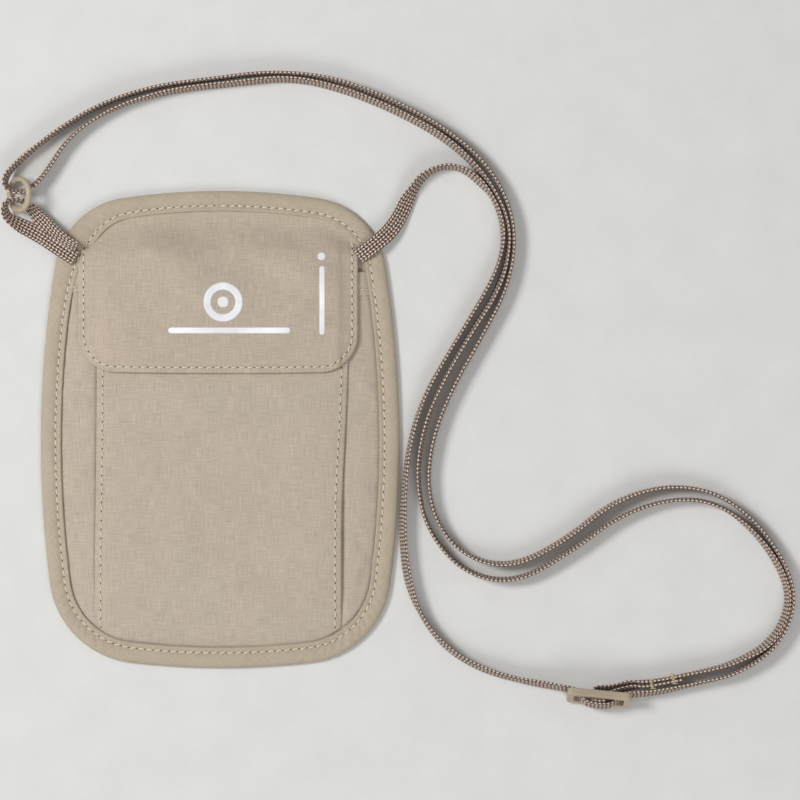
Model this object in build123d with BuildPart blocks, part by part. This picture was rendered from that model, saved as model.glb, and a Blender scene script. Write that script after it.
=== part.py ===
"""Neck pouch wallet: a flat fabric pouch on a long woven strap with a link ring and a slider.

Frame, in millimetres: the pouch lies on its back with its front up (+Z), its mouth end
towards +Y and the origin on the surface below the middle of the pouch.
"""

from build123d import *
from math import cos, degrees, radians, sin, tan
import os

# ---- driving dimensions -------------------------------------------------------------

# Outline of the pouch: the right half is a chain of tangent arcs from top to bottom.
pouch_top = 90.0
pouch_bottom = -90.0
crown_radius, crown_turn = 254.0, 8.3
shoulder_radius, shoulder_turn = 30.4, 72.5
side_radius, side_turn = 417.0, 16.6
corner_radius, corner_turn = 34.2, 75.8

# Binding: a wide tape folded over the edge of every panel.
binding_width = 7.6
binding_height = 3.0
binding_leg = 0.6
binding_round = 1.0
binding_seam_inset = 6.0
panel_edge_inset = 1.0

# Panels, stacked upwards from the surface.
panel_thickness = 0.6
back_bulge_inset = 8.2
shield_thickness = 0.3
shield_inset = 12.0
divider_z = 1.2
pocket_floor_z = divider_z + panel_thickness

# Front pocket: a raised panel between two side pleats, open at its hemmed mouth.
pocket_half_width = 47.0
pocket_mouth_y = 63.8
pocket_top_z = 6.9
pocket_wall = 0.5
pocket_ramp_foot_y = -73.0
pocket_ramp_head_y = -58.0
pocket_foot_y = -89.0
hem_bottom_y = 53.6
hem_thickness = 0.3

# Flap: hinged along a straight fold below the arched top edge.
flap_half_width = 52.7
flap_fold_y = 70.5
flap_bottom_y = 21.5
flap_corner_radius = 10.0
flap_lining_thickness = 0.3
flap_thickness = 0.5
flap_underside_z = 7.9
flap_seam_inset = 2.0
fold_gap = 0.3
root_foot_y = 82.4

# Hook-and-loop closure under the flap.
closure_half_width = 38.0
closure_y = (27.0, 41.0)
loop_thickness = 0.4
hook_thickness = 0.3

# Stitching.
thread_width = 0.5
thread_height = 0.2

# Strap tape: it lies on its edge on the surface.
tape_width = 6.0
tape_thickness = 1.2
folded_tape_width = 4.4

# Link ring: a round ring with one side on the surface and the other side raised.
ring_centre_x, ring_centre_y = -75.6, 88.5
ring_radius = 5.85
ring_wire_radius = 1.15
ring_tilt = 49.0

# Slider: three bars across two slots, standing on a long side and leaning back.
slider_centre = (142.7, -101.0, 5.7)
slider_heading = -5.5
slider_lean = 20.0
slider_length, slider_height, slider_thickness = 24.0, 11.0, 2.9
slider_end_bar, slider_middle_bar, slider_rail = 2.6, 3.2, 2.1
slider_corner_radius, slider_edge_radius = 1.6, 0.6
slot_corner_radius, slot_edge_radius = 0.8, 0.3
slider_gap = 0.3
slider_fold_radius = 1.0

# ---- cord routes: corners of the runs, from one end to the other ---------------------

# Right anchor to the left end of the slider.
single_route = [
    (54.2, 66.6, 6.5), (58.9, 70.2, 6.5), (64.2, 74.8, 5.0), (68.1, 81.0, 3.4),
    (71.2, 88.1, 3.1), (76.7, 96.2, 3.1), (84.1, 99.4, 3.1), (90.9, 98.6, 3.1),
    (97.5, 94.0, 3.1), (104.0, 86.3, 3.1), (107.5, 73.0, 3.1), (104.2, 59.4, 3.1),
    (95.5, 44.2, 3.1), (85.7, 28.2, 3.1), (76.7, 12.5, 3.1), (71.2, -5.2, 3.1),
    (69.2, -23.7, 3.1), (68.7, -41.7, 3.1), (70.9, -58.9, 3.1), (76.8, -72.8, 3.1),
    (86.7, -84.0, 3.1), (99.8, -91.0, 3.1), (112.7, -94.5, 3.1), (122.6, -96.2, 3.8),
    (129.4, -97.2, 4.9),
]

# Right end of the slider, round the far bend, past the pouch and through the link ring,
# then back beside itself to the tab that is sewn round the slider's middle bar.
double_route = [
    (156.4, -100.2, 4.9), (165.5, -99.1, 3.7), (178.3, -96.2, 3.1), (195.0, -92.4, 3.1),
    (209.1, -82.2, 3.1), (216.3, -67.8, 3.1), (214.4, -54.1, 3.1), (203.8, -36.2, 3.1),
    (186.7, -23.1, 3.1), (166.9, -20.9, 3.1), (147.6, -27.3, 3.1), (130.2, -41.7, 3.1),
    (110.6, -51.8, 3.1), (93.7, -48.8, 3.1), (82.2, -36.8, 3.1), (78.0, -20.6, 3.1),
    (80.4, -2.5, 3.1), (87.7, 15.7, 3.1), (98.9, 35.2, 3.1), (108.2, 52.7, 3.1),
    (111.5, 70.8, 3.1), (108.3, 87.3, 3.1), (98.5, 102.4, 3.1), (82.7, 114.7, 3.1),
    (63.0, 124.8, 3.1), (41.2, 132.7, 3.1), (19.4, 135.0, 3.1), (-3.1, 132.1, 3.1),
    (-24.6, 129.4, 3.1), (-44.6, 122.9, 3.1), (-59.8, 113.8, 3.1), (-71.5, 104.9, 3.1),
    (-77.6, 99.3, 3.4), (-80.8, 94.4, 5.1), (-79.3, 90.2, 6.5), (-75.0, 89.4, 5.9),
    (-71.2, 90.8, 5.0), (-67.6, 94.6, 3.7), (-63.9, 99.8, 3.1), (-58.9, 107.8, 3.1),
    (-50.0, 115.9, 3.1), (-35.0, 123.4, 3.1), (-16.1, 128.2, 3.1), (5.9, 130.5, 3.1),
    (27.1, 132.8, 3.1), (47.1, 128.0, 3.1), (67.1, 119.8, 3.1), (85.9, 109.4, 3.1),
    (99.4, 96.2, 3.1), (107.8, 82.3, 3.1), (109.6, 69.3, 3.1), (105.0, 52.6, 3.1),
    (93.5, 35.1, 3.1), (83.1, 16.5, 3.1), (76.3, -0.9, 3.1), (74.1, -19.8, 3.1),
    (78.2, -38.6, 3.1), (92.4, -54.4, 3.1), (111.4, -57.9, 3.1), (131.6, -46.4, 3.1),
    (150.4, -32.5, 3.1), (168.9, -26.1, 3.1), (186.0, -26.8, 3.1), (201.2, -37.9, 3.1),
    (212.0, -53.1, 3.1), (215.1, -66.1, 3.1), (208.4, -80.6, 3.1), (193.1, -88.3, 3.1),
    (184.4, -90.6, 3.2), (176.7, -92.1, 3.6),
]
ring_turn = (31, 38)

# Left anchor, out to the link ring and back.
loop_route = [
    (-54.6, 64.6, 6.0), (-60.4, 68.2, 6.0), (-67.6, 73.2, 4.4), (-75.6, 77.0, 3.2),
    (-80.3, 80.4, 4.2), (-80.1, 85.5, 6.1), (-76.8, 87.1, 5.9), (-72.6, 85.8, 5.0),
    (-69.2, 80.9, 3.6), (-64.4, 76.0, 4.2), (-59.4, 71.4, 6.0), (-54.0, 68.6, 6.0),
]

# The tab's two layers, from its sewn end to the slider.
tab_outer_route = [
    (176.0, -92.3, 3.6), (164.2, -94.8, 3.4), (154.8, -95.2, 3.8), (147.9, -96.7, 4.3),
]
tab_inner_route = [
    (175.3, -94.0, 3.6), (164.1, -96.4, 3.4), (156.1, -97.0, 3.7), (150.6, -97.9, 4.3),
]
tab_tack_points = [(165.2, -95.4), (172.4, -93.8)]
tab_heading = 102.0
tab_tack_length = 3.4
tab_top_z = 6.75

os.makedirs("parts", exist_ok=True)


def save(part, name):
    """Label a finished piece and write it to its own file."""
    part.label = name
    export_step(part, f"parts/{name}.step")


# ---- outline ------------------------------------------------------------------------

with BuildSketch() as outline:
    with BuildLine():
        crown = JernArc((0, pouch_top), (1, 0), crown_radius, -crown_turn)
        shoulder = JernArc(crown @ 1, crown % 1, shoulder_radius, -shoulder_turn)
        side = JernArc(shoulder @ 1, shoulder % 1, side_radius, -side_turn)
        corner = JernArc(side @ 1, side % 1, corner_radius, -corner_turn)
        TangentArc(corner @ 1, (0, pouch_bottom), tangent=corner % 1)
        mirror(about=Plane.YZ)
    make_face()


def inset_outline(inset):
    """The pouch outline pulled in on every side, as a face."""
    return offset(outline.sketch, amount=-inset, mode=Mode.PRIVATE)


# ---- pouch body ---------------------------------------------------------------------

with BuildPart() as back_panel:
    with BuildSketch(Plane.XY.offset(binding_leg)):
        add(inset_outline(panel_edge_inset))
    extrude(amount=panel_thickness)
    with BuildSketch():
        add(inset_outline(back_bulge_inset))
    extrude(amount=binding_leg)
save(back_panel.part, "back_panel")

with BuildPart() as rear_shield:
    with BuildSketch(Plane.XY.offset(divider_z)):
        add(inset_outline(shield_inset))
    extrude(amount=shield_thickness)
save(rear_shield.part, "rear_shield")

with BuildPart() as divider_panel:
    with BuildSketch(Plane.XY.offset(divider_z)):
        add(inset_outline(panel_edge_inset))
    extrude(amount=panel_thickness)
    with BuildSketch(Plane.XY.offset(divider_z)):
        add(inset_outline(shield_inset))
    extrude(amount=shield_thickness, mode=Mode.SUBTRACT)
save(divider_panel.part, "divider_panel")

with BuildPart() as edge_binding:
    with BuildSketch():
        add(outline.sketch)
    extrude(amount=binding_height)
    rims = edge_binding.faces().sort_by(Axis.Z)
    fillet(rims[0].edges() + rims[-1].edges(), radius=binding_round)
    with BuildSketch():
        add(inset_outline(binding_width))
    extrude(amount=binding_height, mode=Mode.SUBTRACT)
    with BuildSketch(Plane.XY.offset(binding_leg)):
        add(inset_outline(panel_edge_inset))
    extrude(amount=binding_height - 2 * binding_leg, mode=Mode.SUBTRACT)
save(edge_binding.part, "edge_binding")

with BuildPart() as binding_thread:
    with BuildSketch(Plane.XY.offset(binding_height)):
        add(inset_outline(binding_seam_inset - thread_width / 2))
        add(inset_outline(binding_seam_inset + thread_width / 2), mode=Mode.SUBTRACT)
    extrude(amount=thread_height)
save(binding_thread.part, "binding_thread")

# ---- front pocket -------------------------------------------------------------------

ramp_foot_z = pocket_floor_z + panel_thickness

with BuildPart() as pocket_panel:
    with BuildSketch(Plane.YZ):
        with BuildLine():
            Polyline(
                (pocket_foot_y, pocket_floor_z),
                (pocket_mouth_y, pocket_floor_z),
                (pocket_mouth_y, pocket_top_z),
                (pocket_ramp_head_y, pocket_top_z),
                (pocket_ramp_foot_y, ramp_foot_z),
                (pocket_foot_y, ramp_foot_z),
                close=True,
            )
        make_face()
    extrude(amount=pocket_half_width, both=True)
    with BuildSketch(Plane.YZ):
        with BuildLine():
            Polyline(
                (pocket_ramp_foot_y + 3 * pocket_wall, pocket_floor_z),
                (pocket_mouth_y, pocket_floor_z),
                (pocket_mouth_y, pocket_top_z - pocket_wall),
                (pocket_ramp_head_y, pocket_top_z - pocket_wall),
                close=True,
            )
        make_face()
    extrude(amount=pocket_half_width - pocket_wall, both=True, mode=Mode.SUBTRACT)
    with BuildSketch():
        add(inset_outline(panel_edge_inset))
    extrude(amount=pocket_top_z, mode=Mode.INTERSECT)
save(pocket_panel.part, "pocket_panel")

with BuildPart() as pocket_hem:
    with BuildSketch(Plane.XY.offset(pocket_top_z)):
        with Locations((0, hem_bottom_y)):
            Rectangle(
                2 * pocket_half_width,
                pocket_mouth_y - hem_bottom_y,
                align=(Align.CENTER, Align.MIN),
            )
    extrude(amount=hem_thickness)
save(pocket_hem.part, "pocket_hem")


def side_strip(inset, low_y, floor_z, thickness):
    """A flat strip right of the raised pocket, out to an inset of the outline."""
    with BuildPart() as strip:
        with BuildSketch(Plane.XY.offset(floor_z)):
            with Locations((pocket_half_width, low_y)):
                Rectangle(
                    pocket_half_width,
                    pocket_mouth_y - low_y,
                    align=(Align.MIN, Align.MIN),
                )
            add(inset_outline(inset), mode=Mode.INTERSECT)
        extrude(amount=thickness)
    return strip.part


side_right = side_strip(panel_edge_inset, pouch_bottom, pocket_floor_z, panel_thickness)
side_hem_right = side_strip(
    binding_width, hem_bottom_y, pocket_floor_z + panel_thickness, hem_thickness
)
save(side_right, "pocket_side_right")
save(mirror(side_right, about=Plane.YZ), "pocket_side_left")
save(side_hem_right, "side_hem_right")
save(mirror(side_hem_right, about=Plane.YZ), "side_hem_left")


def seam_strip(centre_x, centre_y, length_x, length_y, floor_z):
    """A raised row of stitches along a straight seam."""
    with BuildPart() as strip:
        with BuildSketch(Plane.XY.offset(floor_z)):
            with Locations((centre_x, centre_y)):
                Rectangle(length_x, length_y)
        extrude(amount=thread_height)
    return strip.part


pleat_seam_x = pocket_half_width - 2.3
pleat_seam_length = hem_bottom_y - pocket_ramp_head_y
pleat_seam_y = (hem_bottom_y + pocket_ramp_head_y) / 2
for side_name, side_x in (("left", -pleat_seam_x), ("right", pleat_seam_x)):
    pleat_thread = seam_strip(side_x, pleat_seam_y, thread_width, pleat_seam_length, pocket_top_z)
    save(pleat_thread, f"pleat_thread_{side_name}")

hem_thread = seam_strip(
    0, hem_bottom_y + 1.5, 2 * pleat_seam_x, thread_width, pocket_top_z + hem_thickness
)
save(hem_thread, "hem_thread")

# ---- flap ---------------------------------------------------------------------------

lining_top_z = flap_underside_z + flap_lining_thickness
flap_top_z = lining_top_z + flap_thickness

with BuildPart() as flap_root:
    with BuildSketch(Plane.YZ):
        with BuildLine():
            Polyline(
                (flap_fold_y + fold_gap, flap_underside_z),
                (flap_fold_y + fold_gap, flap_top_z),
                (root_foot_y + 1, binding_height),
                (root_foot_y + 1, binding_height - binding_leg),
                (root_foot_y - 1, binding_height - binding_leg),
                close=True,
            )
        make_face()
    extrude(amount=flap_half_width, both=True)
    with BuildSketch():
        add(inset_outline(binding_width))
    extrude(amount=flap_top_z, mode=Mode.INTERSECT)
save(flap_root.part, "flap_root")


def flap_sheet(inset, floor_z, thickness):
    """A layer of the flap: straight at the fold, with two round lower corners."""
    low_y = flap_bottom_y + inset
    high_y = flap_fold_y - fold_gap
    with BuildPart() as sheet:
        with BuildSketch(Plane.XY.offset(floor_z)) as shape:
            with Locations((0, low_y)):
                Rectangle(
                    2 * (flap_half_width - inset),
                    high_y - low_y,
                    align=(Align.CENTER, Align.MIN),
                )
            fillet(shape.vertices().group_by(Axis.Y)[0], radius=flap_corner_radius - inset)
        extrude(amount=thickness)
    return sheet.part


save(flap_sheet(0, lining_top_z, flap_thickness), "flap_panel")
save(flap_sheet(panel_edge_inset, flap_underside_z, flap_lining_thickness), "flap_lining")

with BuildPart() as flap_thread:
    add(flap_sheet(flap_seam_inset - thread_width / 2, flap_top_z, thread_height))
    add(
        flap_sheet(flap_seam_inset + thread_width / 2, flap_top_z, thread_height),
        mode=Mode.SUBTRACT,
    )
save(flap_thread.part, "flap_thread")


def closure_strip(floor_z, thickness):
    """One half of the hook-and-loop closure."""
    with BuildPart() as strip:
        with BuildSketch(Plane.XY.offset(floor_z)):
            with Locations((0, sum(closure_y) / 2)):
                RectangleRounded(2 * closure_half_width, closure_y[1] - closure_y[0], 2.0)
        extrude(amount=thickness)
    return strip.part


save(closure_strip(pocket_top_z, loop_thickness), "loop_strip")
save(closure_strip(flap_underside_z - hook_thickness, hook_thickness), "hook_strip")

# ---- cords --------------------------------------------------------------------------


def corner_radii(points):
    """Arc radius at each corner: 0.45 of the shorter run over the tangent of half the turn."""
    radii = []
    for before, corner_point, after in zip(points, points[1:], points[2:]):
        run_in = corner_point - before
        run_out = after - corner_point
        half_turn = radians(run_in.get_angle(run_out) / 2)
        radii.append(0.45 * min(run_in.length, run_out.length) / tan(half_turn))
    return radii


def stretch(route, first, last):
    """The corners from first to last, with ends at the middles of the runs beyond them."""
    points = [Vector(*point) for point in route]
    inner = points[first : last + 1]
    if first > 0:
        inner.insert(0, (points[first - 1] + points[first]) / 2)
    if last < len(points) - 1:
        inner.append((points[last] + points[last + 1]) / 2)
    return inner


def tape(name, points, width):
    """Tape on its edge, swept along straight runs joined by tangent arcs."""
    radii = corner_radii(points)
    with BuildPart() as swept:
        with BuildLine():
            middle = FilletPolyline(*points, radius=radii)
        across = Vector(0, 0, 1).cross(middle % 0)
        with BuildSketch(Plane(middle @ 0, x_dir=across, z_dir=middle % 0)):
            Rectangle(tape_thickness, width)
        sweep()
    print(name, "length", round(middle.length, 1), "arc radii", [round(r, 1) for r in radii])
    save(swept.part, name)


ring_first, ring_last = ring_turn
tape("strap_single", stretch(single_route, 0, 20), tape_width)
tape("strap_to_slider", stretch(single_route, 21, len(single_route) - 1), tape_width)
tape("strap_from_slider", stretch(double_route, 0, 2), tape_width)
tape("strap_outer", stretch(double_route, 3, ring_first), tape_width)
tape("strap_ring_turn", stretch(double_route, ring_first + 1, ring_last - 1), folded_tape_width)
tape("strap_inner", stretch(double_route, ring_last, len(double_route) - 4), tape_width)
last_corner = len(double_route) - 1
tape("strap_to_tab", stretch(double_route, len(double_route) - 3, last_corner), tape_width)
tape("short_loop", stretch(loop_route, 0, len(loop_route) - 1), folded_tape_width)

# Bar tacks: blocks of stitching that hold the tape ends down on the binding.
tack_length, tack_width, tack_height = 5.6, 2.0, 0.3
anchor_tacks = (("left", -58.2, 70.6, -60.0), ("right", 57.4, 69.4, 130.0))
for side_name, tack_x, tack_y, tack_angle in anchor_tacks:
    with BuildPart() as anchor_tack:
        with BuildSketch(Plane.XY.offset(binding_height)):
            with Locations(Location((tack_x, tack_y, 0), (0, 0, tack_angle))):
                SlotOverall(tack_length, tack_width)
        extrude(amount=tack_height)
    save(anchor_tack.part, f"anchor_tack_{side_name}")

# ---- link ring ----------------------------------------------------------------------

ring_uphill = Vector(cos(radians(ring_tilt)), 0, sin(radians(ring_tilt)))
ring_centre = Vector(
    ring_centre_x, ring_centre_y, ring_wire_radius + ring_radius * ring_uphill.Z
)
ring_plane = Plane(ring_centre, x_dir=ring_uphill, z_dir=ring_uphill.cross(Vector(0, 1, 0)))
with BuildPart(ring_plane) as link_ring:
    Torus(ring_radius, ring_wire_radius)
save(link_ring.part, "link_ring")

# ---- slider -------------------------------------------------------------------------

slider_along = Vector(cos(radians(slider_heading)), sin(radians(slider_heading)), 0)
slider_back = Vector(0, 0, 1).cross(slider_along)
lean = radians(slider_lean)
slider_front = slider_back * -cos(lean) + Vector(0, 0, 1) * sin(lean)
slider_face = Plane(slider_centre, x_dir=slider_along, z_dir=slider_front)
slider_section = Plane(slider_centre, x_dir=slider_along, z_dir=slider_face.y_dir)

slot_length = (slider_length - 2 * slider_end_bar - slider_middle_bar) / 2
slot_height = slider_height - 2 * slider_rail
slot_centre_x = (slider_middle_bar + slot_length) / 2

with BuildPart(slider_face) as strap_slider:
    Box(slider_length, slider_height, slider_thickness)
    front_axis = Axis((0, 0, 0), slider_front)
    fillet(strap_slider.edges().filter_by(front_axis), radius=slider_corner_radius)
    broad_faces = strap_slider.faces().sort_by(front_axis)
    fillet(broad_faces[0].edges() + broad_faces[-1].edges(), radius=slider_edge_radius)
    with BuildSketch(slider_face.offset(-slider_thickness)):
        with Locations((-slot_centre_x, 0), (slot_centre_x, 0)):
            RectangleRounded(slot_length, slot_height, slot_corner_radius)
    extrude(amount=2 * slider_thickness, mode=Mode.SUBTRACT)
    for broad_face in strap_slider.faces().sort_by(front_axis)[0 :: len(strap_slider.faces()) - 1]:
        for slot_rim in broad_face.inner_wires():
            fillet(slot_rim.edges(), radius=slot_edge_radius)
save(strap_slider.part, "strap_slider")


def slider_tape(name, points):
    """Tape folded tightly through the slider, its corners given along and behind it."""
    with BuildPart() as woven:
        with BuildLine(slider_section):
            middle = FilletPolyline(*points, radius=slider_fold_radius)
        with BuildSketch(Plane(middle @ 0, x_dir=slider_section.z_dir, z_dir=middle % 0)):
            Rectangle(tape_width, tape_thickness)
        sweep()
    save(woven.part, name)


bar_clear = slider_thickness / 2 + slider_gap + tape_thickness / 2
bulge_clear = bar_clear + slider_gap + tape_thickness
bar_side = slider_middle_bar / 2 + slider_gap + tape_thickness / 2

# The running tape: behind both end bars and in front of the middle bar.
slider_tape("slider_weave", [
    (-12.6, bar_clear), (-9.0, bar_clear), (-4.4, -bulge_clear), (4.4, -bulge_clear),
    (9.0, bar_clear), (12.6, bar_clear),
])

# The tab: a loop round the middle bar, whose two strands are sewn together behind it.
slider_tape("tab_loop", [
    (3.2, 4.4), (-bar_side, 3.4), (-bar_side, -bar_clear), (bar_side, -bar_clear),
    (bar_side, 0.8), (6.2, 3.2),
])
tape("tab_outer_layer", [Vector(*point) for point in tab_outer_route], tape_width)
tape("tab_inner_layer", [Vector(*point) for point in tab_inner_route], tape_width)

# Two rows of stitching across the top edges of the tab.
for side_name, tack_at in (("near", tab_tack_points[0]), ("far", tab_tack_points[1])):
    with BuildPart() as tab_tack:
        with BuildSketch(Plane.XY.offset(tab_top_z)):
            with Locations(Location((*tack_at, 0), (0, 0, tab_heading))):
                SlotOverall(tab_tack_length, tack_width)
        extrude(amount=tack_height)
    save(tab_tack.part, f"tab_tack_{side_name}")
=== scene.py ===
"""Looks of a neck pouch wallet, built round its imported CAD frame.

Lengths are in millimetres in the frame of the part, and turned into metres when a mesh is made:
the pouch lies on its back with its front up (+Z) and its mouth end towards +Y.
"""

import math

import bpy
import numpy as np
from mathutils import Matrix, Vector, noise


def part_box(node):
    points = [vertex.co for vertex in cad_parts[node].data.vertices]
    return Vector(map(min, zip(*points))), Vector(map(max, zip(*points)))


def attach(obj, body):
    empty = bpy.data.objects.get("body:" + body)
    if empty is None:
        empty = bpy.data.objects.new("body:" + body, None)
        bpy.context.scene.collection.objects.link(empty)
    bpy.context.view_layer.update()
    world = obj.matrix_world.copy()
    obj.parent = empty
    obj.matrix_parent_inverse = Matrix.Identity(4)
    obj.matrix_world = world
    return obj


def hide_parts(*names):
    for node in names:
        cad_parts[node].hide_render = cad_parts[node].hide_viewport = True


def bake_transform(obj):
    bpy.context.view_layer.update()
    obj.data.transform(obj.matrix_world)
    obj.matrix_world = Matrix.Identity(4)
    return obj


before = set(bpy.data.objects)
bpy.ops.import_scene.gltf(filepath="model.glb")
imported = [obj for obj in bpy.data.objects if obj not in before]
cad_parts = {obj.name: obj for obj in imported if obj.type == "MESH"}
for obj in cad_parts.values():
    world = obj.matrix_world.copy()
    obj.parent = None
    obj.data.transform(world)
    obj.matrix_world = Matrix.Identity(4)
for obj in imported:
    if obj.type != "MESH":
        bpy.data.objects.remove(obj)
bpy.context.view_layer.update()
MM = 0.001


def box_mm(node):
    """Lowest and highest corner of a CAD node, in millimetres."""
    low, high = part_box(node)
    return np.array(low) / MM, np.array(high) / MM


# ---- camera -------------------------------------------------------------------------

VIEW_CENTRE = (67.8, 11.1)
VIEW_WIDTH = 302.0
CAMERA_HEIGHT = 2400.0
SENSOR = 36.0

camera_data = bpy.data.cameras.new("camera")
camera_data.sensor_width = SENSOR
camera_data.lens = SENSOR * CAMERA_HEIGHT / VIEW_WIDTH
camera_data.clip_end = 20
camera = bpy.data.objects.new("camera", camera_data)
camera.location = (VIEW_CENTRE[0] * MM, VIEW_CENTRE[1] * MM, CAMERA_HEIGHT * MM)
bpy.context.scene.collection.objects.link(camera)
bpy.context.scene.camera = camera

# ---- node materials -----------------------------------------------------------------


def linear(red, green, blue):
    """An sRGB colour from 0 to 255 as linear RGBA."""
    channels = [c / 255 for c in (red, green, blue)]
    return tuple(c / 12.92 if c <= 0.04045 else ((c + 0.055) / 1.055) ** 2.4 for c in channels) + (1.0,)


class Graph:
    """A material's node tree, with short calls for the nodes used here."""

    def __init__(self, name, roughness, **sockets):
        self.material = bpy.data.materials.new(name)
        self.material.use_nodes = True
        self.tree = self.material.node_tree
        self.shader = self.tree.nodes["Principled BSDF"]
        self.shader.inputs["Roughness"].default_value = roughness
        for socket, value in sockets.items():
            self.shader.inputs[socket.replace("_", " ")].default_value = value

    def node(self, kind, inputs=(), **settings):
        """A node with its settings, and inputs given as {socket: value or output}."""
        made = self.tree.nodes.new(kind)
        for key, value in settings.items():
            setattr(made, key, value)
        for socket, value in dict(inputs).items():
            if isinstance(value, bpy.types.NodeSocket):
                self.tree.links.new(value, made.inputs[socket])
            else:
                made.inputs[socket].default_value = value
        return made

    def math(self, operation, first, second=0.0):
        return self.node("ShaderNodeMath", {0: first, 1: second}, operation=operation).outputs[0]

    def add(self, first, second):
        return self.math("ADD", first, second)

    def times(self, first, second):
        return self.math("MULTIPLY", first, second)

    def sine(self, angle):
        return self.math("SINE", angle)

    def magnitude(self, value):
        return self.math("ABSOLUTE", value)

    def uv(self):
        """The two surface coordinates, in millimetres."""
        source = self.node("ShaderNodeUVMap", uv_map="surface")
        parts = self.node("ShaderNodeSeparateXYZ", {0: source.outputs[0]})
        return source.outputs[0], parts.outputs[0], parts.outputs[1]

    def scaled(self, vector, x, y, z=1.0):
        return self.node("ShaderNodeVectorMath", {0: vector, 1: (x, y, z)}, operation="MULTIPLY").outputs[0]

    def noise(self, vector, scale, detail=2.0, roughness=0.5):
        made = self.node(
            "ShaderNodeTexNoise",
            {"Vector": vector, "Scale": scale, "Detail": detail, "Roughness": roughness},
        )
        return made.outputs["Fac"]

    def ramp(self, factor, *stops):
        """A colour ramp of (position, colour) stops."""
        made = self.node("ShaderNodeValToRGB", {"Fac": factor})
        elements = made.color_ramp.elements
        while len(elements) < len(stops):
            elements.new(0.5)
        for element, (position, colour) in zip(elements, stops):
            element.position = position
            element.color = colour
        return made.outputs["Color"]

    def mix(self, factor, first, second, blend_type="MIX"):
        made = self.node("ShaderNodeMix", data_type="RGBA", blend_type=blend_type)
        for socket, value in ((0, factor), (6, first), (7, second)):
            if isinstance(value, bpy.types.NodeSocket):
                self.tree.links.new(value, made.inputs[socket])
            else:
                made.inputs[socket].default_value = value
        return made.outputs[2]

    def finish(self, colour, height, distance_mm, strength=1.0):
        """Colour and bump into the shader."""
        self.tree.links.new(colour, self.shader.inputs["Base Color"])
        bump = self.node(
            "ShaderNodeBump",
            {"Height": height, "Distance": distance_mm * MM, "Strength": strength},
        )
        self.tree.links.new(bump.outputs[0], self.shader.inputs["Normal"])
        return self.material


YARN_PITCH = 0.42
GRID_PITCH = 4.8


def fabric_material(name, colour, contrast=1.0):
    """Fine plain weave with uneven yarns, a faint rip-stop grid and slow changes of tone."""
    graph = Graph(name, 0.82, Sheen_Weight=0.12, Sheen_Roughness=0.5, Specular_IOR_Level=0.3)
    vector, u, v = graph.uv()
    weft = graph.noise(graph.scaled(vector, 0.16, 2.8), 1.0, 2.0, 0.6)
    warp = graph.noise(graph.scaled(vector, 2.8, 0.16), 1.0, 2.0, 0.6)
    yarns = graph.add(weft, warp)
    fine_u = graph.sine(graph.times(u, 2 * math.pi / YARN_PITCH))
    fine_v = graph.sine(graph.times(v, 2 * math.pi / YARN_PITCH))
    weave = graph.times(fine_u, fine_v)
    waves = (graph.math("COSINE", graph.times(axis, math.pi / GRID_PITCH)) for axis in (u, v))
    grid = graph.math("MAXIMUM", *(graph.math("POWER", graph.magnitude(wave), 60.0) for wave in waves))
    blotch = graph.noise(vector, 0.055, 3.0, 0.6)
    hue = graph.noise(vector, 0.021, 2.0, 0.5)
    dark = linear(*(channel * (1 - 0.11 * contrast) for channel in colour))
    light = linear(*(channel * (1 + 0.09 * contrast) for channel in colour))
    base = graph.ramp(graph.times(yarns, 0.5), (0.30, dark), (0.70, light))
    base = graph.mix(graph.times(grid, 0.05), base, light)
    tone = graph.ramp(blotch, (0.32, (0.965, 0.965, 0.965, 1)), (0.68, (1.03, 1.03, 1.03, 1)))
    base = graph.mix(1.0, base, tone, "MULTIPLY")
    tint = graph.ramp(hue, (0.38, (0.992, 1.002, 0.994, 1)), (0.62, (1.008, 0.998, 1.0, 1)))
    base = graph.mix(1.0, base, tint, "MULTIPLY")
    height = graph.add(graph.times(weave, 0.30), graph.times(yarns, 1.2))
    height = graph.add(height, graph.times(grid, 0.25))
    return graph.finish(base, height, 0.07, 0.7)


BRAID_PITCH = 1.45
BRAID_COLUMN = 1.13
BRAID_SLANT = 0.45
BRAID_COLUMNS = 12
EDGE_PITCH = 1.6


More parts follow.
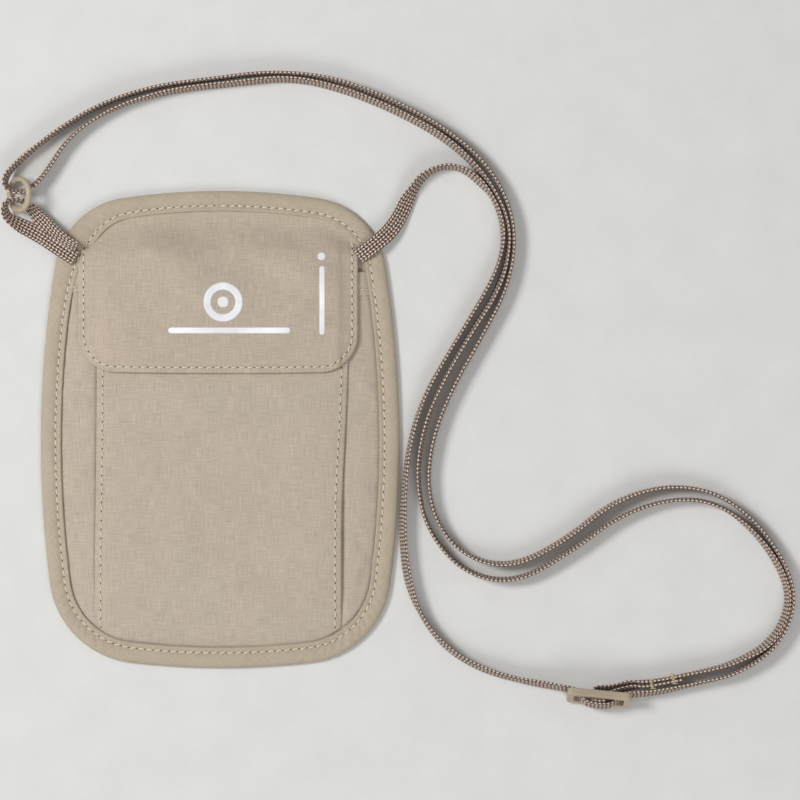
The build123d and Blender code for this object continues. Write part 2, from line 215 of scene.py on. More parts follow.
def braid_material():
    """Coarse braid: columns of slanted light yarns that meet in points, with dark gaps, and one
    row of rounder stitches along each edge. The colour follows the relief, so the dark gaps are
    painted shade and the lightest crests are painted highlight."""
    graph = Graph("woven_tape", 0.72, Sheen_Weight=0.2, Sheen_Roughness=0.4, Specular_IOR_Level=0.3)
    vector, u, v = graph.uv()
    column = graph.add(graph.math("DIVIDE", v, BRAID_COLUMN), 0.5)
    across = graph.math("FRACT", column)
    zigzag = graph.magnitude(graph.math("SUBTRACT", graph.math("MODULO", column, 2.0), 1.0))
    phase = graph.add(graph.math("DIVIDE", u, BRAID_PITCH), graph.times(zigzag, BRAID_SLANT))
    stitch = graph.magnitude(graph.sine(graph.times(phase, math.pi)))
    bead = graph.magnitude(graph.sine(graph.times(u, math.pi / EDGE_PITCH)))
    number = graph.math("MODULO", graph.math("FLOOR", column), BRAID_COLUMNS / 2)
    on_edge = graph.math("LESS_THAN", number, 0.5)
    face = graph.times(stitch, graph.math("SUBTRACT", 1.0, on_edge))
    stitch = graph.add(face, graph.times(bead, on_edge))
    rib = graph.sine(graph.times(across, math.pi))
    height = graph.times(graph.math("POWER", stitch, 0.8), graph.math("POWER", rib, 0.8))
    yarn_tone = graph.noise(vector, 0.9, 2.0, 0.6)
    # Colour from the relief plus a random yarn tone: painted shade in the gaps, painted highlight on the
    # crests.
    painted_light_and_tone = graph.add(height, graph.times(graph.math("SUBTRACT", yarn_tone, 0.5), 0.5))
    colour = graph.ramp(
        painted_light_and_tone,
        (0.16, linear(56, 40, 30)),
        (0.36, linear(126, 103, 88)),
        (0.66, linear(190, 167, 151)),
        (0.92, linear(238, 220, 205)),
    )
    filament = graph.noise(graph.scaled(vector, 3.0, 9.0), 1.0, 2.0, 0.6)
    total = graph.add(height, graph.times(filament, 0.2))
    return graph.finish(colour, total, 0.28, 1.0)


def thread_material(name, colour):
    """Twisted sewing thread: two plies that wind round each stitch, darker in the grooves between the plies
    as painted shade.
    """
    graph = Graph(name, 0.55, Sheen_Weight=0.15, Specular_IOR_Level=0.4)
    vector, u, v = graph.uv()
    twist = graph.add(graph.times(u, 11.0), graph.times(v, 4.0))
    ply = graph.magnitude(graph.sine(twist))
    # The darker colour in the ply grooves is painted shade.
    dark = linear(*(channel * 0.86 for channel in colour))
    return graph.finish(graph.ramp(ply, (0.0, dark), (0.6, linear(*colour))), ply, 0.06)


def plain_material(name, colour, roughness, grain, depth, tone_change=0.08, **sockets):
    """One colour with a slight change of tone, over a fine grain."""
    graph = Graph(name, roughness, **sockets)
    source = graph.node("ShaderNodeTexCoord").outputs["Object"]
    tone = graph.noise(source, 60.0, 3.0)
    speckle = graph.noise(source, grain, 3.0, 0.7)
    low = linear(*(channel * (1 - tone_change) for channel in colour))
    high = linear(*(channel * (1 + tone_change) for channel in colour))
    mixed = graph.add(graph.times(tone, 0.7), graph.times(speckle, 0.3))
    blended = graph.ramp(mixed, (0.35, low), (0.65, high))
    return graph.finish(blended, speckle, depth, 0.6)


FABRIC = fabric_material("ripstop_fabric", (193, 179, 163))
# The flap gets a slightly darker copy of the ripstop fabric: painted shade.
FLAP_FABRIC_SHADED = fabric_material("flap_fabric_painted_shade", (192, 177, 160))
BINDING_FABRIC = fabric_material("binding_fabric", (188, 174, 154), 0.7)
LINING_FABRIC = fabric_material("lining_fabric", (176, 163, 144))
BRAID = braid_material()
THREAD = thread_material("thread", (246, 235, 208))
TACK_THREAD = thread_material("tack_thread", (224, 207, 166))
# The needle holes' dark colour is painted shade: the holes are only recesses between the stitches.
HOLE_PAINTED_SHADE = plain_material("needle_hole_painted_shade", (74, 60, 42), 0.95, 3000.0, 0.05)
PLASTIC = plain_material("hardware_plastic", (184, 168, 145), 0.42, 2600.0, 0.03, Specular_IOR_Level=0.5)
PRINT = plain_material("white_print", (247, 247, 250), 0.5, 5000.0, 0.02)
LOOP_PILE = plain_material("loop_pile", (168, 152, 130), 0.95, 900.0, 0.5, Sheen_Weight=0.4)
HOOK_TAPE = plain_material("hook_tape", (158, 143, 121), 0.6, 1500.0, 0.4)

# ---- vectors and lines --------------------------------------------------------------


def unit(vectors):
    """The same directions, one long."""
    return vectors / np.linalg.norm(vectors, axis=-1, keepdims=True)


def distances(points):
    """How far along a line each of its points is."""
    return np.concatenate([[0], np.cumsum(np.linalg.norm(np.diff(points, axis=0), axis=1))])


def points_at(places, along, points):
    """The points of a line at places along it."""
    return np.stack([np.interp(places, along, column) for column in points.T], axis=1)


def close(points):
    """A line whose first point is repeated at its end."""
    return np.vstack([points, points[:1]])


# ---- meshes -------------------------------------------------------------------------


def new_piece(name, points_mm, faces, material, uv_mm=None):
    """A mesh object from points in millimetres, with one surface coordinate per point."""
    mesh = bpy.data.meshes.new(name)
    mesh.from_pydata((np.asarray(points_mm, float) * MM).tolist(), [], faces)
    mesh.update()
    if uv_mm is not None:
        layer = mesh.uv_layers.new(name="surface")
        corners = np.empty(len(mesh.loops), np.int32)
        mesh.loops.foreach_get("vertex_index", corners)
        layer.data.foreach_set("uv", np.asarray(uv_mm, np.float32)[corners].ravel())
    mesh.polygons.foreach_set("use_smooth", [True] * len(mesh.polygons))
    mesh.materials.append(material)
    piece = bpy.data.objects.new(name, mesh)
    bpy.context.scene.collection.objects.link(piece)
    return piece


def grid_faces(rows, columns, wrap_columns=False, start=0, flip=False, wrap_rows=False):
    """Quads over a grid of points stored row by row."""
    faces = []
    for row in range(rows if wrap_rows else rows - 1):
        here, there = start + row * columns, start + (row + 1) % rows * columns
        for column in range(columns if wrap_columns else columns - 1):
            after = (column + 1) % columns
            quad = (here + column, here + after, there + after, there + column)
            faces.append(quad[::-1] if flip else quad)
    return faces


def cloth_piece(name, x, y, z, thickness, material, under=None):
    """A closed sheet: top points x, y, z on a grid (rows run towards +Y), bottom a thickness below."""
    rows, columns = x.shape
    bottom = z - thickness if under is None else under
    top_points = np.stack([x, y, z], axis=-1).reshape(-1, 3)
    low_points = np.stack([x, y, bottom], axis=-1).reshape(-1, 3)
    count = rows * columns
    faces = grid_faces(rows, columns) + grid_faces(rows, columns, start=count, flip=True)
    border = list(range(columns))
    border += [r * columns + columns - 1 for r in range(1, rows)]
    border += [(rows - 1) * columns + c for c in range(columns - 2, -1, -1)]
    border += [r * columns for r in range(rows - 2, 0, -1)]
    for near, far in zip(border, border[1:] + border[:1]):
        faces.append((far, near, near + count, far + count))
    uv = np.stack([x, y], axis=-1).reshape(-1, 2)
    return new_piece(name, np.vstack([top_points, low_points]), faces, material, np.vstack([uv, uv]))


def field(x, y, scale, seed):
    """Smooth noise from -1 to 1 at points in millimetres, with lumps about scale long."""
    flat = zip(np.ravel(x) / scale, np.ravel(y) / scale)
    values = [noise.fractal((a, b, seed), 1.0, 2.0, 2) for a, b in flat]
    return np.array(values).reshape(np.shape(x))


def crease(x, y, start, end, width, depth):
    """A soft fold along a line from start to end, that fades out at both ends."""
    (x0, y0), (x1, y1) = start, end
    length = math.hypot(x1 - x0, y1 - y0)
    along = ((x - x0) * (x1 - x0) + (y - y0) * (y1 - y0)) / length ** 2
    aside = ((x - x0) * (y1 - y0) - (y - y0) * (x1 - x0)) / length
    fade = np.clip(1 - np.abs(2 * along - 1) ** 2, 0, 1)
    return depth * fade * np.exp(-((aside / width) ** 2))


def creases(x, y, *folds):
    """Several soft folds together. A fold of negative depth is a hollow."""
    return sum(crease(x, y, *fold) for fold in folds)


# ---- outline of the pouch -----------------------------------------------------------

# The right half is a chain of tangent arcs (radius, turn in degrees) from the top, and one more
# arc closes it at the bottom.
OUTLINE_TOP = box_mm("edge_binding")[1][1]
OUTLINE_ARCS = ((254.0, 8.3), (30.4, 72.5), (417.0, 16.6), (34.2, 75.8))
BINDING_WIDTH = 7.6
SEAM_INSET = 5.6
TUCK_INSET = 6.9


def outline_half(inset, step):
    """Points and outward normals down the right half of the outline, pulled in by inset."""
    points, normals = [], []
    heading = 0.0
    position = np.array([0.0, OUTLINE_TOP])
    closing_turn = 180 - sum(turn for _, turn in OUTLINE_ARCS)
    for radius, turn in (*OUTLINE_ARCS, (None, closing_turn)):
        if radius is None:
            radius = position[0] / math.sin(math.radians(closing_turn))
        centre = position - radius * np.array([math.sin(heading), math.cos(heading)])
        count = max(2, int(radius * math.radians(turn) / step))
        for index in range(count):
            angle = heading + math.radians(turn) * index / count
            normal = np.array([math.sin(angle), math.cos(angle)])
            points.append(centre + (radius - inset) * normal)
            normals.append(normal)
        heading += math.radians(turn)
        position = centre + radius * np.array([math.sin(heading), math.cos(heading)])
    return np.array(points), np.array(normals)


def outline_loop(inset, spacing):
    """Evenly spaced points and outward normals clockwise round the whole outline."""
    points, normals = outline_half(inset, 0.25)
    mirror = np.array([-1.0, 1.0])
    points = np.vstack([points, points[:0:-1] * mirror])
    normals = np.vstack([normals, normals[:0:-1] * mirror])
    closed = close(points)
    length = distances(closed)
    at = np.linspace(0, length[-1], int(round(length[-1] / spacing)), endpoint=False)
    return points_at(at, length, closed), unit(points_at(at, length, close(normals))), at


TUCK_POINTS, _ = outline_half(TUCK_INSET, 0.3)
WIDEST = int(np.argmax(TUCK_POINTS[:, 0]))


def half_width(y):
    """Half the width inside the binding at a height y."""
    return np.interp(-np.asarray(y, float), -TUCK_POINTS[:, 1], TUCK_POINTS[:, 0])


def top_edge(x):
    """The upper end of the space inside the binding, at a distance x from the middle."""
    return np.interp(np.abs(x), TUCK_POINTS[:WIDEST, 0], TUCK_POINTS[:WIDEST, 1])


def bottom_edge(x):
    """The lower end of the space inside the binding."""
    return np.interp(np.abs(x), TUCK_POINTS[:WIDEST:-1, 0], TUCK_POINTS[:WIDEST:-1, 1])


INNER_POINTS = outline_loop(BINDING_WIDTH, 1.0)[0]


def depth_inside(x, y):
    """Distance from the binding's inner edge, for points inside it."""
    flat = np.stack([np.ravel(x), np.ravel(y)], axis=1)
    nearest = np.empty(len(flat))
    for start in range(0, len(flat), 4000):
        block = flat[start : start + 4000]
        gaps = np.linalg.norm(block[:, None] - INNER_POINTS[None], axis=2)
        nearest[start : start + 4000] = gaps.min(axis=1)
    inside = np.abs(flat[:, 0]) < half_width(flat[:, 1]) - (BINDING_WIDTH - TUCK_INSET)
    return np.where(inside, nearest, -nearest).reshape(np.shape(x))


def puff(x, y, foot, rise, reach):
    """A pillow that rises from foot at the binding by rise over about reach."""
    depth = depth_inside(x, y)
    gap = 0.45 * np.exp(-(((depth - 0.1) / 0.55) ** 2))
    return foot + rise * (1 - np.exp(-np.clip(depth, -0.7, None) / reach)) - gap


# ---- cords: routes ------------------------------------------------------------------

TAPE_WIDTH = 6.0
TAPE_THICKNESS = 1.3
BRAID_RELIEF = 0.13
ON_EDGE_HEIGHT = 3.1

SINGLE_ROUTE = [
    (54.2, 66.6, 6.5), (58.9, 70.2, 6.5), (64.2, 74.8, 5.0), (68.1, 81.0, 3.4),
    (71.2, 88.1, 3.1), (76.7, 96.2, 3.1), (84.1, 99.4, 3.1), (90.9, 98.6, 3.1),
    (97.5, 94.0, 3.1), (104.0, 86.3, 3.1), (107.5, 73.0, 3.1), (104.2, 59.4, 3.1),
    (95.5, 44.2, 3.1), (85.7, 28.2, 3.1), (76.7, 12.5, 3.1), (71.2, -5.2, 3.1),
    (69.2, -23.7, 3.1), (68.7, -41.7, 3.1), (70.9, -58.9, 3.1), (76.8, -72.8, 3.1),
    (86.7, -84.0, 3.1), (99.8, -91.0, 3.1), (112.7, -94.5, 3.1), (122.6, -96.2, 3.8),
    (129.4, -97.2, 4.9),
]
DOUBLE_ROUTE = [
    (156.4, -100.2, 4.9), (165.5, -99.1, 3.7), (178.3, -96.2, 3.1), (195.0, -92.4, 3.1),
    (209.1, -82.2, 3.1), (216.3, -67.8, 3.1), (214.4, -54.1, 3.1), (203.8, -36.2, 3.1),
    (186.7, -23.1, 3.1), (166.9, -20.9, 3.1), (147.6, -27.3, 3.1), (130.2, -41.7, 3.1),
    (110.6, -51.8, 3.1), (93.7, -48.8, 3.1), (82.2, -36.8, 3.1), (78.0, -20.6, 3.1),
    (80.4, -2.5, 3.1), (87.7, 15.7, 3.1), (98.9, 35.2, 3.1), (108.2, 52.7, 3.1),
    (111.5, 70.8, 3.1), (108.3, 87.3, 3.1), (98.5, 102.4, 3.1), (82.7, 114.7, 3.1),
    (63.0, 124.8, 3.1), (41.2, 132.7, 3.1), (19.4, 135.0, 3.1), (-3.1, 132.1, 3.1),
    (-24.6, 129.4, 3.1), (-44.6, 122.9, 3.1), (-59.8, 113.8, 3.1), (-71.5, 104.9, 3.1),
    (-77.6, 99.3, 3.4), (-80.8, 94.4, 5.1), (-79.3, 90.2, 6.5), (-75.0, 89.4, 5.9),
    (-71.2, 90.8, 5.0), (-67.6, 94.6, 3.7), (-63.9, 99.8, 3.1), (-58.9, 107.8, 3.1),
    (-50.0, 115.9, 3.1), (-35.0, 123.4, 3.1), (-16.1, 128.2, 3.1), (5.9, 130.5, 3.1),
    (27.1, 132.8, 3.1), (47.1, 128.0, 3.1), (67.1, 119.8, 3.1), (85.9, 109.4, 3.1),
    (99.4, 96.2, 3.1), (107.8, 82.3, 3.1), (109.6, 69.3, 3.1), (105.0, 52.6, 3.1),
    (93.5, 35.1, 3.1), (83.1, 16.5, 3.1), (76.3, -0.9, 3.1), (74.1, -19.8, 3.1),
    (78.2, -38.6, 3.1), (92.4, -54.4, 3.1), (111.4, -57.9, 3.1), (131.6, -46.4, 3.1),
    (150.4, -32.5, 3.1), (168.9, -26.1, 3.1), (186.0, -26.8, 3.1), (201.2, -37.9, 3.1),
    (212.0, -53.1, 3.1), (215.1, -66.1, 3.1), (208.4, -80.6, 3.1), (193.1, -88.3, 3.1),
    (184.4, -90.6, 3.2), (176.7, -92.1, 3.6),
]
LOOP_ROUTE = [
    (-54.6, 64.6, 6.0), (-60.4, 68.2, 6.0), (-67.6, 73.2, 4.4), (-75.6, 77.0, 3.2),
    (-80.3, 80.4, 4.2), (-80.1, 85.5, 6.1), (-76.8, 87.1, 5.9), (-72.6, 85.8, 5.0),
    (-69.2, 80.9, 3.6), (-64.4, 76.0, 4.2), (-59.4, 71.4, 6.0), (-54.0, 68.6, 6.0),
]


def spline_points(corners, spacing):
    """Evenly spaced points along the smooth curve that corners control."""
    curve = bpy.data.curves.new("route", "CURVE")
    curve.dimensions = "3D"
    curve.resolution_u = 80
    spline = curve.splines.new("NURBS")
    spline.points.add(len(corners) - 1)
    for point, corner in zip(spline.points, corners):
        point.co = (*corner, 1)
    spline.order_u = 3
    spline.use_endpoint_u = True
    holder = bpy.data.objects.new("route", curve)
    mesh = bpy.data.meshes.new_from_object(holder)
    line = np.array([vertex.co for vertex in mesh.vertices])
    bpy.data.objects.remove(holder)
    bpy.data.curves.remove(curve)
    bpy.data.meshes.remove(mesh)
    length = distances(line)
    at = np.linspace(0, length[-1], int(length[-1] / spacing) + 1)
    return points_at(at, length, line), at


def tape_section(width, thickness, count=28, power=0.42):
    """Points round a flat, round-edged section, and their distance round it."""
    angles = np.linspace(0, 2 * math.pi, count, endpoint=False)
    turn = np.stack([np.cos(angles), np.sin(angles)], axis=1)
    closed = close(np.sign(turn) * np.abs(turn) ** power * [width / 2, thickness / 2])
    around = distances(closed)
    even = np.linspace(0, around[-1], count, endpoint=False)
    return points_at(even, around, closed), even, around[-1]


def braid_height(u, v):
    """Relief of the braid, from 0 to 1, at a distance u along and v round the tape."""
    column = v / BRAID_COLUMN + 0.5
    across = column - np.floor(column)
    phase = u / BRAID_PITCH + BRAID_SLANT * np.abs(np.mod(column, 2) - 1)
    on_edge = np.mod(np.floor(column), BRAID_COLUMNS / 2) < 0.5
    stitch = np.abs(np.sin(np.where(on_edge, u / EDGE_PITCH, phase) * math.pi))
    return stitch ** 0.8 * np.abs(np.sin(across * math.pi)) ** 0.8


def upright_vectors(line, lean):
    """The direction of a tape's width at each point. lean is its angle from standing on edge,
    towards the right of its way, in degrees."""
    tangent = unit(np.gradient(line, axis=0))
    upright = unit(np.array([0, 0, 1.0]) - tangent[:, 2:] * tangent)
    angle = np.radians(lean)[:, None]
    return upright * np.cos(angle) + np.cross(tangent, upright) * np.sin(angle)


def braid_tape(name, line, at, wide, squeeze, thin):
    """Woven tape along a line. squeeze is its width at each point as a share of the full width,
    and thin its thickness as a share of the full thickness."""
    tangent = unit(np.gradient(line, axis=0))
    wide = unit(wide - np.sum(wide * tangent, axis=1, keepdims=True) * tangent)
    thick = np.cross(tangent, wide)
    section, around, perimeter = tape_section(TAPE_WIDTH, TAPE_THICKNESS - BRAID_RELIEF)
    stretch = BRAID_COLUMNS * BRAID_COLUMN / perimeter
    u = at[:, None] + np.zeros(len(around))
    v = around[None, :] * stretch + np.zeros((len(line), 1))
    raised = braid_height(u, v) * BRAID_RELIEF
    outward = unit(section)
    a = section[None, :, 0] * squeeze[:, None] + outward[None, :, 0] * raised
    b = section[None, :, 1] * thin[:, None] + outward[None, :, 1] * raised
    points = line[:, None] + wide[:, None] * a[..., None] + thick[:, None] * b[..., None]
    rows, count = points.shape[:2]
    v = np.concatenate([v, np.full((rows, 1), BRAID_COLUMNS * BRAID_COLUMN)], axis=1)
    u = np.concatenate([u, u[:, :1]], axis=1)
    faces = grid_faces(rows, count, wrap_columns=True)
    piece = new_piece(name, points.reshape(-1, 3), faces + tape_caps(rows, count), BRAID)
    layer = piece.data.uv_layers.new(name="surface")
    uv = np.stack([u, v], axis=-1)
    corners = np.stack([uv[:-1, :-1], uv[:-1, 1:], uv[1:, 1:], uv[1:, :-1]], axis=2).reshape(-1, 2)
    caps = np.zeros((2 * count, 2))
    layer.data.foreach_set("uv", np.vstack([corners, caps]).astype(np.float32).ravel())
    return piece


def tape_caps(rows, count, start=0):
    """The two closed ends of a tape or thread."""
    last = start + (rows - 1) * count
    return [tuple(range(start, start + count))[::-1], tuple(range(last, last + count))]


def on_surface(line, lean, share=1.0):
    """Lowers or raises a line so that leaning tape still touches what its route lies on."""
    lift = line[:, 2] - ON_EDGE_HEIGHT
    angle = np.radians(lean)
    half = TAPE_WIDTH / 2 * share * np.abs(np.cos(angle)) + TAPE_THICKNESS / 2 * np.abs(np.sin(angle))
    return np.column_stack([line[:, :2], lift + half + 0.12])


def keyed(at, *keys):
    """Values that pass smoothly through (distance, value) keys."""
    places, values = zip(*keys)
    position = np.interp(at, places, range(len(places)))
    base = np.clip(np.floor(position).astype(int), 0, len(places) - 2)
    part = position - base
    part = part * part * (3 - 2 * part)
    values = np.asarray(values, float)
    return values[base] * (1 - part) + values[base + 1] * part


def smooth(value):
    """0 below 0, 1 above 1 and an even S between them."""
    value = np.clip(value, 0, 1)
    return value * value * (3 - 2 * value)


# ---- strap: one tape from the right anchor, through the slider, round the far bend, through the
# link ring, back beside itself and round the slider's middle bar

TAPE_STEP = 0.4
SLIDER_CENTRE = np.array([142.7, -101.0, 5.7])
SLIDER_HEADING = math.radians(-5.5)
SLIDER_LEAN = math.radians(20.0)
slider_along = np.array([math.cos(SLIDER_HEADING), math.sin(SLIDER_HEADING), 0.0])
slider_flat_back = np.array([-slider_along[1], slider_along[0], 0.0])
slider_up = np.array([0, 0, math.cos(SLIDER_LEAN)]) + slider_flat_back * math.sin(SLIDER_LEAN)
slider_back = np.cross(slider_up, slider_along)


def in_slider(*corners):
    """Places given along and behind the slider's middle, in the frame."""
    return [tuple(SLIDER_CENTRE + slider_along * along + slider_back * behind)
            for along, behind in corners]


WEAVE = in_slider(
    (-12.8, 2.4), (-9.4, 2.3), (-6.9, -0.5), (-4.4, -3.15), (4.4, -3.15), (6.9, -0.5), (9.4, 2.3),
    (12.8, 2.4),
)
TAB_OUTER = [(176.0, -92.3, 3.6), (164.2, -94.8, 3.4), (154.8, -95.2, 3.8)]
TAB_LOOP = in_slider(
    (4.2, 4.2), (-1.0, 3.7), (-2.5, 2.7), (-2.5, -1.0), (-1.9, -2.1), (1.9, -2.1), (2.5, -1.0),
    (2.6, 1.2), (5.8, 3.0),
)
TAB_INNER = [(156.1, -97.0, 3.7), (164.1, -96.4, 3.4), (174.2, -94.2, 3.6)]

# The strap's end goes in under the flap's right corner.
RIGHT_TUCK = [(52.3, 65.2, 5.4)]

STRAP_ROUTE = RIGHT_TUCK + SINGLE_ROUTE[:-1] + WEAVE + DOUBLE_ROUTE[1:-1] + TAB_OUTER + TAB_LOOP + TAB_INNER
strap_line, strap_at = spline_points(STRAP_ROUTE, TAPE_STEP)


def strap_index(corner, low=0):
    """The strap's point nearest a corner, from an index on."""
    return low + int(np.argmin(np.linalg.norm(strap_line[low:] - corner, axis=1)))


slider_left = strap_index(SINGLE_ROUTE[-1])
slider_right = strap_index(DOUBLE_ROUTE[0], slider_left)
tab_start = strap_index(TAB_OUTER[0], slider_right)
single_at = strap_at[: slider_left + 1]
double_at = strap_at[slider_right : tab_start + 1] - strap_at[slider_right]
single_end, double_end = single_at[-1], double_at[-1]
crossing = double_at[int(np.argmin(strap_line[slider_right : tab_start + 1, 0]))]

# The tape's lean from standing on edge along the strap, in degrees.
single_lean = keyed(
    single_at, (0, -88), (14, -86), (26, -66), (36, -30), (46, -14), (54, -15), (63, -21), (71, -8),
    (84, -9), (97, -2), (115, -3), (134, -2), (152, -5), (170, -9), (189, -12), (207, -20), (224, -22),
    (240, -6), (255, -13), (270, -16), (283, -14), (293, -21), (single_end, -20),
)
double_lean = keyed(
    double_at, (0, -20), (9, -16), (23, -9), (40, 2), (57, 15), (74, 14), (88, 13), (100, 5), (120, 1),
    (150, -3), (170, -8), (192, -9), (214, -10), (231, -5), (248, -4), (282, -5), (320, -3), (344, 0),
    (363, 4), (380, 4), (398, 5), (418, 8), (440, 14), (455, 12), (480, 4), (508, 5), (550, 6),
    (crossing - 18, 8), (crossing - 8, 14), (crossing, 20), (crossing + 10, 16), (crossing + 22, 10),
    (crossing + 42, 5), (crossing + 60, -6), (crossing + 80, -13), (crossing + 122, -15),
    (crossing + 164, -17), (crossing + 185, -19), (crossing + 204, -14), (crossing + 220, -5),
    (crossing + 235, -5), (crossing + 250, -12), (crossing + 270, -10), (crossing + 292, -3),
    (crossing + 310, 7), (crossing + 329, 8), (crossing + 350, 4), (crossing + 370, 8),
    (crossing + 390, 9), (crossing + 412, 7), (crossing + 435, 3), (crossing + 454, 3),
    (crossing + 471, 5), (crossing + 489, -7), (crossing + 508, -15), (crossing + 521, -17),
    (crossing + 537, -22), (crossing + 553, -10), (crossing + 562, -4), (double_end, 0),
)
strap_lean = np.interp(
    strap_at,
    np.concatenate([single_at, strap_at[slider_right] + double_at]),
    np.concatenate([single_lean, double_lean]),
    right=0.0,
)
strap_squeeze = np.ones(len(strap_at))
strap_squeeze[slider_right : tab_start + 1] -= 0.27 * np.exp(-(((double_at - crossing - 4) / 10) ** 2))
in_hardware = 1 - smooth((np.linalg.norm(strap_line - SLIDER_CENTRE, axis=1) - 12.5) / 5)
# At the ring the tape is narrower and thinner, and it is drawn off the ring so that it clears it.
in_ring = np.exp(-(((strap_at - strap_at[slider_right] - crossing - 4) / 9) ** 2))
resting = on_surface(strap_line, strap_lean, strap_squeeze) + in_ring[:, None] * np.array([-0.7, 0, 0.7])
strap_wide = upright_vectors(strap_line, strap_lean) * (1 - in_hardware[:, None])
strap_wide += slider_up * in_hardware[:, None]
strap_line = strap_line * in_hardware[:, None] + resting * (1 - in_hardware[:, None])
strap_thin = 1 - 0.2 * in_hardware - 0.15 * in_ring


def strap_piece(name, first, last):
    """The part of the strap between two of its points."""
    run = slice(first, last + 1)
    shape = (values[run] for values in (strap_line, strap_at, strap_wide, strap_squeeze, strap_thin))
    return braid_tape(name, *shape)


single_strap = strap_piece("neck_strap_single", 0, slider_left)
weave = strap_piece("slider_weave_tape", slider_left, slider_right)
double_strap = strap_piece("neck_strap_double", slider_right, tab_start)
tab = strap_piece("strap_tab", tab_start, len(strap_at) - 1)

loop_line, loop_at = spline_points(LOOP_ROUTE, TAPE_STEP)
loop_end = loop_at[-1]
loop_crest = loop_at[int(np.argmax(loop_line[:, 1]))]
loop_lean = keyed(
    loop_at, (0, -88), (16, -86), (22, -70), (loop_crest - 9, -40), (loop_crest - 2, -18),
    (loop_crest + 4, -18), (loop_crest + 8, -50), (loop_crest + 13, -70), (loop_end - 10, -50),
    (loop_end, -36),
)
by_ring = np.exp(-(((loop_at - loop_crest + 3) / 8) ** 2))
loop_squeeze = 1 - 0.32 * by_ring
loop_lift = by_ring[:, None] * np.array([-1.03, -0.1, 1.07])
loop_line = on_surface(loop_line, loop_lean, loop_squeeze) + loop_lift
short_loop = braid_tape(
    "short_loop_tape", loop_line, loop_at, upright_vectors(loop_line, loop_lean), loop_squeeze,
    1 - 0.15 * by_ring,
)

# ---- pouch: panels ------------------------------------------------------------------


def edge_spaced(low, high, step):
    """Places from low to high, about a step apart and closer together at both ends."""
    ends = np.array([0.0, 0.12, 0.32, 0.62, 1.0, 1.5])
    count = max(2, int(round((high - low - 2 * ends[-1]) / step)) + 1)
    middle = np.linspace(low + ends[-1], high - ends[-1], count)
    return np.concatenate([low + ends[:-1], middle, high - ends[-2::-1]])


def rounded_grid(x_range, y_range, radius, step, round_top=True):
    """Points over a rectangle whose corners are drawn in to a radius."""
    x, y = np.meshgrid(edge_spaced(*x_range, step), edge_spaced(*y_range, step))
    round_x, round_y = x.copy(), y.copy()
    for x_centre, x_way in ((x_range[0] + radius, -1), (x_range[1] - radius, 1)):
        for y_centre, y_way in ((y_range[0] + radius, -1), (y_range[1] - radius, 1)):
            if y_way > 0 and not round_top:
                continue
            a = np.clip((x - x_centre) * x_way / radius, 0, None)
            b = np.clip((y - y_centre) * y_way / radius, 0, None)
            corner = (a > 0) & (b > 0)
            round_x = np.where(corner, x_centre + x_way * radius * a * np.sqrt(1 - b * b / 2), round_x)
            round_y = np.where(corner, y_centre + y_way * radius * b * np.sqrt(1 - a * a / 2), round_y)
    return round_x, round_y


def lapped(z, gap, thickness, roll=0.5):
    """A sheet's top and bottom at a distance gap from its folded edge, which rolls over."""
    share = np.clip(1 - gap / roll, 0, 1)
    drop = thickness / 2 * (1 - np.sqrt(np.clip(1 - share * share, 0, 1)))
    return z - drop, z - thickness + drop


def disc_sheet(name, inset, top, bottom, material, rings=34):
    """A closed sheet over the whole pouch, in to an inset of its outline, with its top and bottom
    given as functions of x and y."""
    edge, _, _ = outline_loop(inset, 2.2)
    shares = np.linspace(0.02, 1, rings)
    x, y = shares[:, None] * edge[None, :, 0], shares[:, None] * edge[None, :, 1]
    around = len(edge)
    upper = np.stack([x, y, top(x, y)], axis=-1).reshape(-1, 3)
    lower = np.stack([x, y, bottom(x, y)], axis=-1).reshape(-1, 3)
    count = rings * around
    faces = grid_faces(rings, around, wrap_columns=True)
    faces += grid_faces(rings, around, wrap_columns=True, start=count, flip=True)
    faces.append(tuple(range(around)))
    faces.append(tuple(count + k for k in range(around))[::-1])
    rim = (rings - 1) * around
    for k in range(around):
        after = (k + 1) % around
        faces.append((rim + after, rim + k, count + rim + k, count + rim + after)[::-1])
    uv = np.stack([x, y], axis=-1).reshape(-1, 2)
    return new_piece(name, np.vstack([upper, lower]), faces, material, np.vstack([uv, uv]))


def back_bottom(x, y):
    """The back lies on the surface and lifts to pass under the binding."""
    lift = 0.62 * (1 - smooth((depth_inside(x, y) + 0.3) / 1.4))
    ripple = 0.10 * (1 + field(x, y, 17, 3.1)) * smooth(depth_inside(x, y) / 6)
    return 0.02 + lift + ripple


back_panel = disc_sheet("back_panel_cloth", 1.0, lambda x, y: 0 * x + 1.2, back_bottom, FABRIC)
foil = disc_sheet(
    "rear_shield_foil", 12.0, lambda x, y: 0 * x + 1.45, lambda x, y: 0 * x + 1.22,
    plain_material("shield_foil", (176, 178, 180), 0.35, 900.0, 0.2, Metallic=0.9), rings=12,
)


def divider_top(x, y):
    """The divider sags a little between its seams."""
    return 1.82 + 0.25 * field(x, y, 21, 5.4) * smooth(depth_inside(x, y) / 8)


divider = disc_sheet("divider_cloth", 1.0, divider_top, lambda x, y: divider_top(x, y) - 0.28, FABRIC)

POCKET_MOUTH = box_mm("pocket_panel")[1][1]
POCKET_HALF = 47.0
HEM_BOTTOM = box_mm("pocket_hem")[0][1]
STITCH_PITCH = 3.1
PLEAT_SEAM = 2.3

# Hems: the lower edge, the folded upper edge and the row of stitches.
POCKET_BAND = (HEM_BOTTOM, POCKET_MOUTH + 0.25, HEM_BOTTOM + 1.5)
LEFT_BAND = (51.6, 60.8, 53.7)
RIGHT_BAND = (50.5, 59.5, 52.8)


def pocket_left(y):
    """The left fold of the pocket."""
    return -46.5 - 0.8 * smooth((20 - y) / 90)


def pocket_right(y):
    """The right fold of the pocket."""
    return 48.3 - 2.6 * smooth((32 - y) / 72)


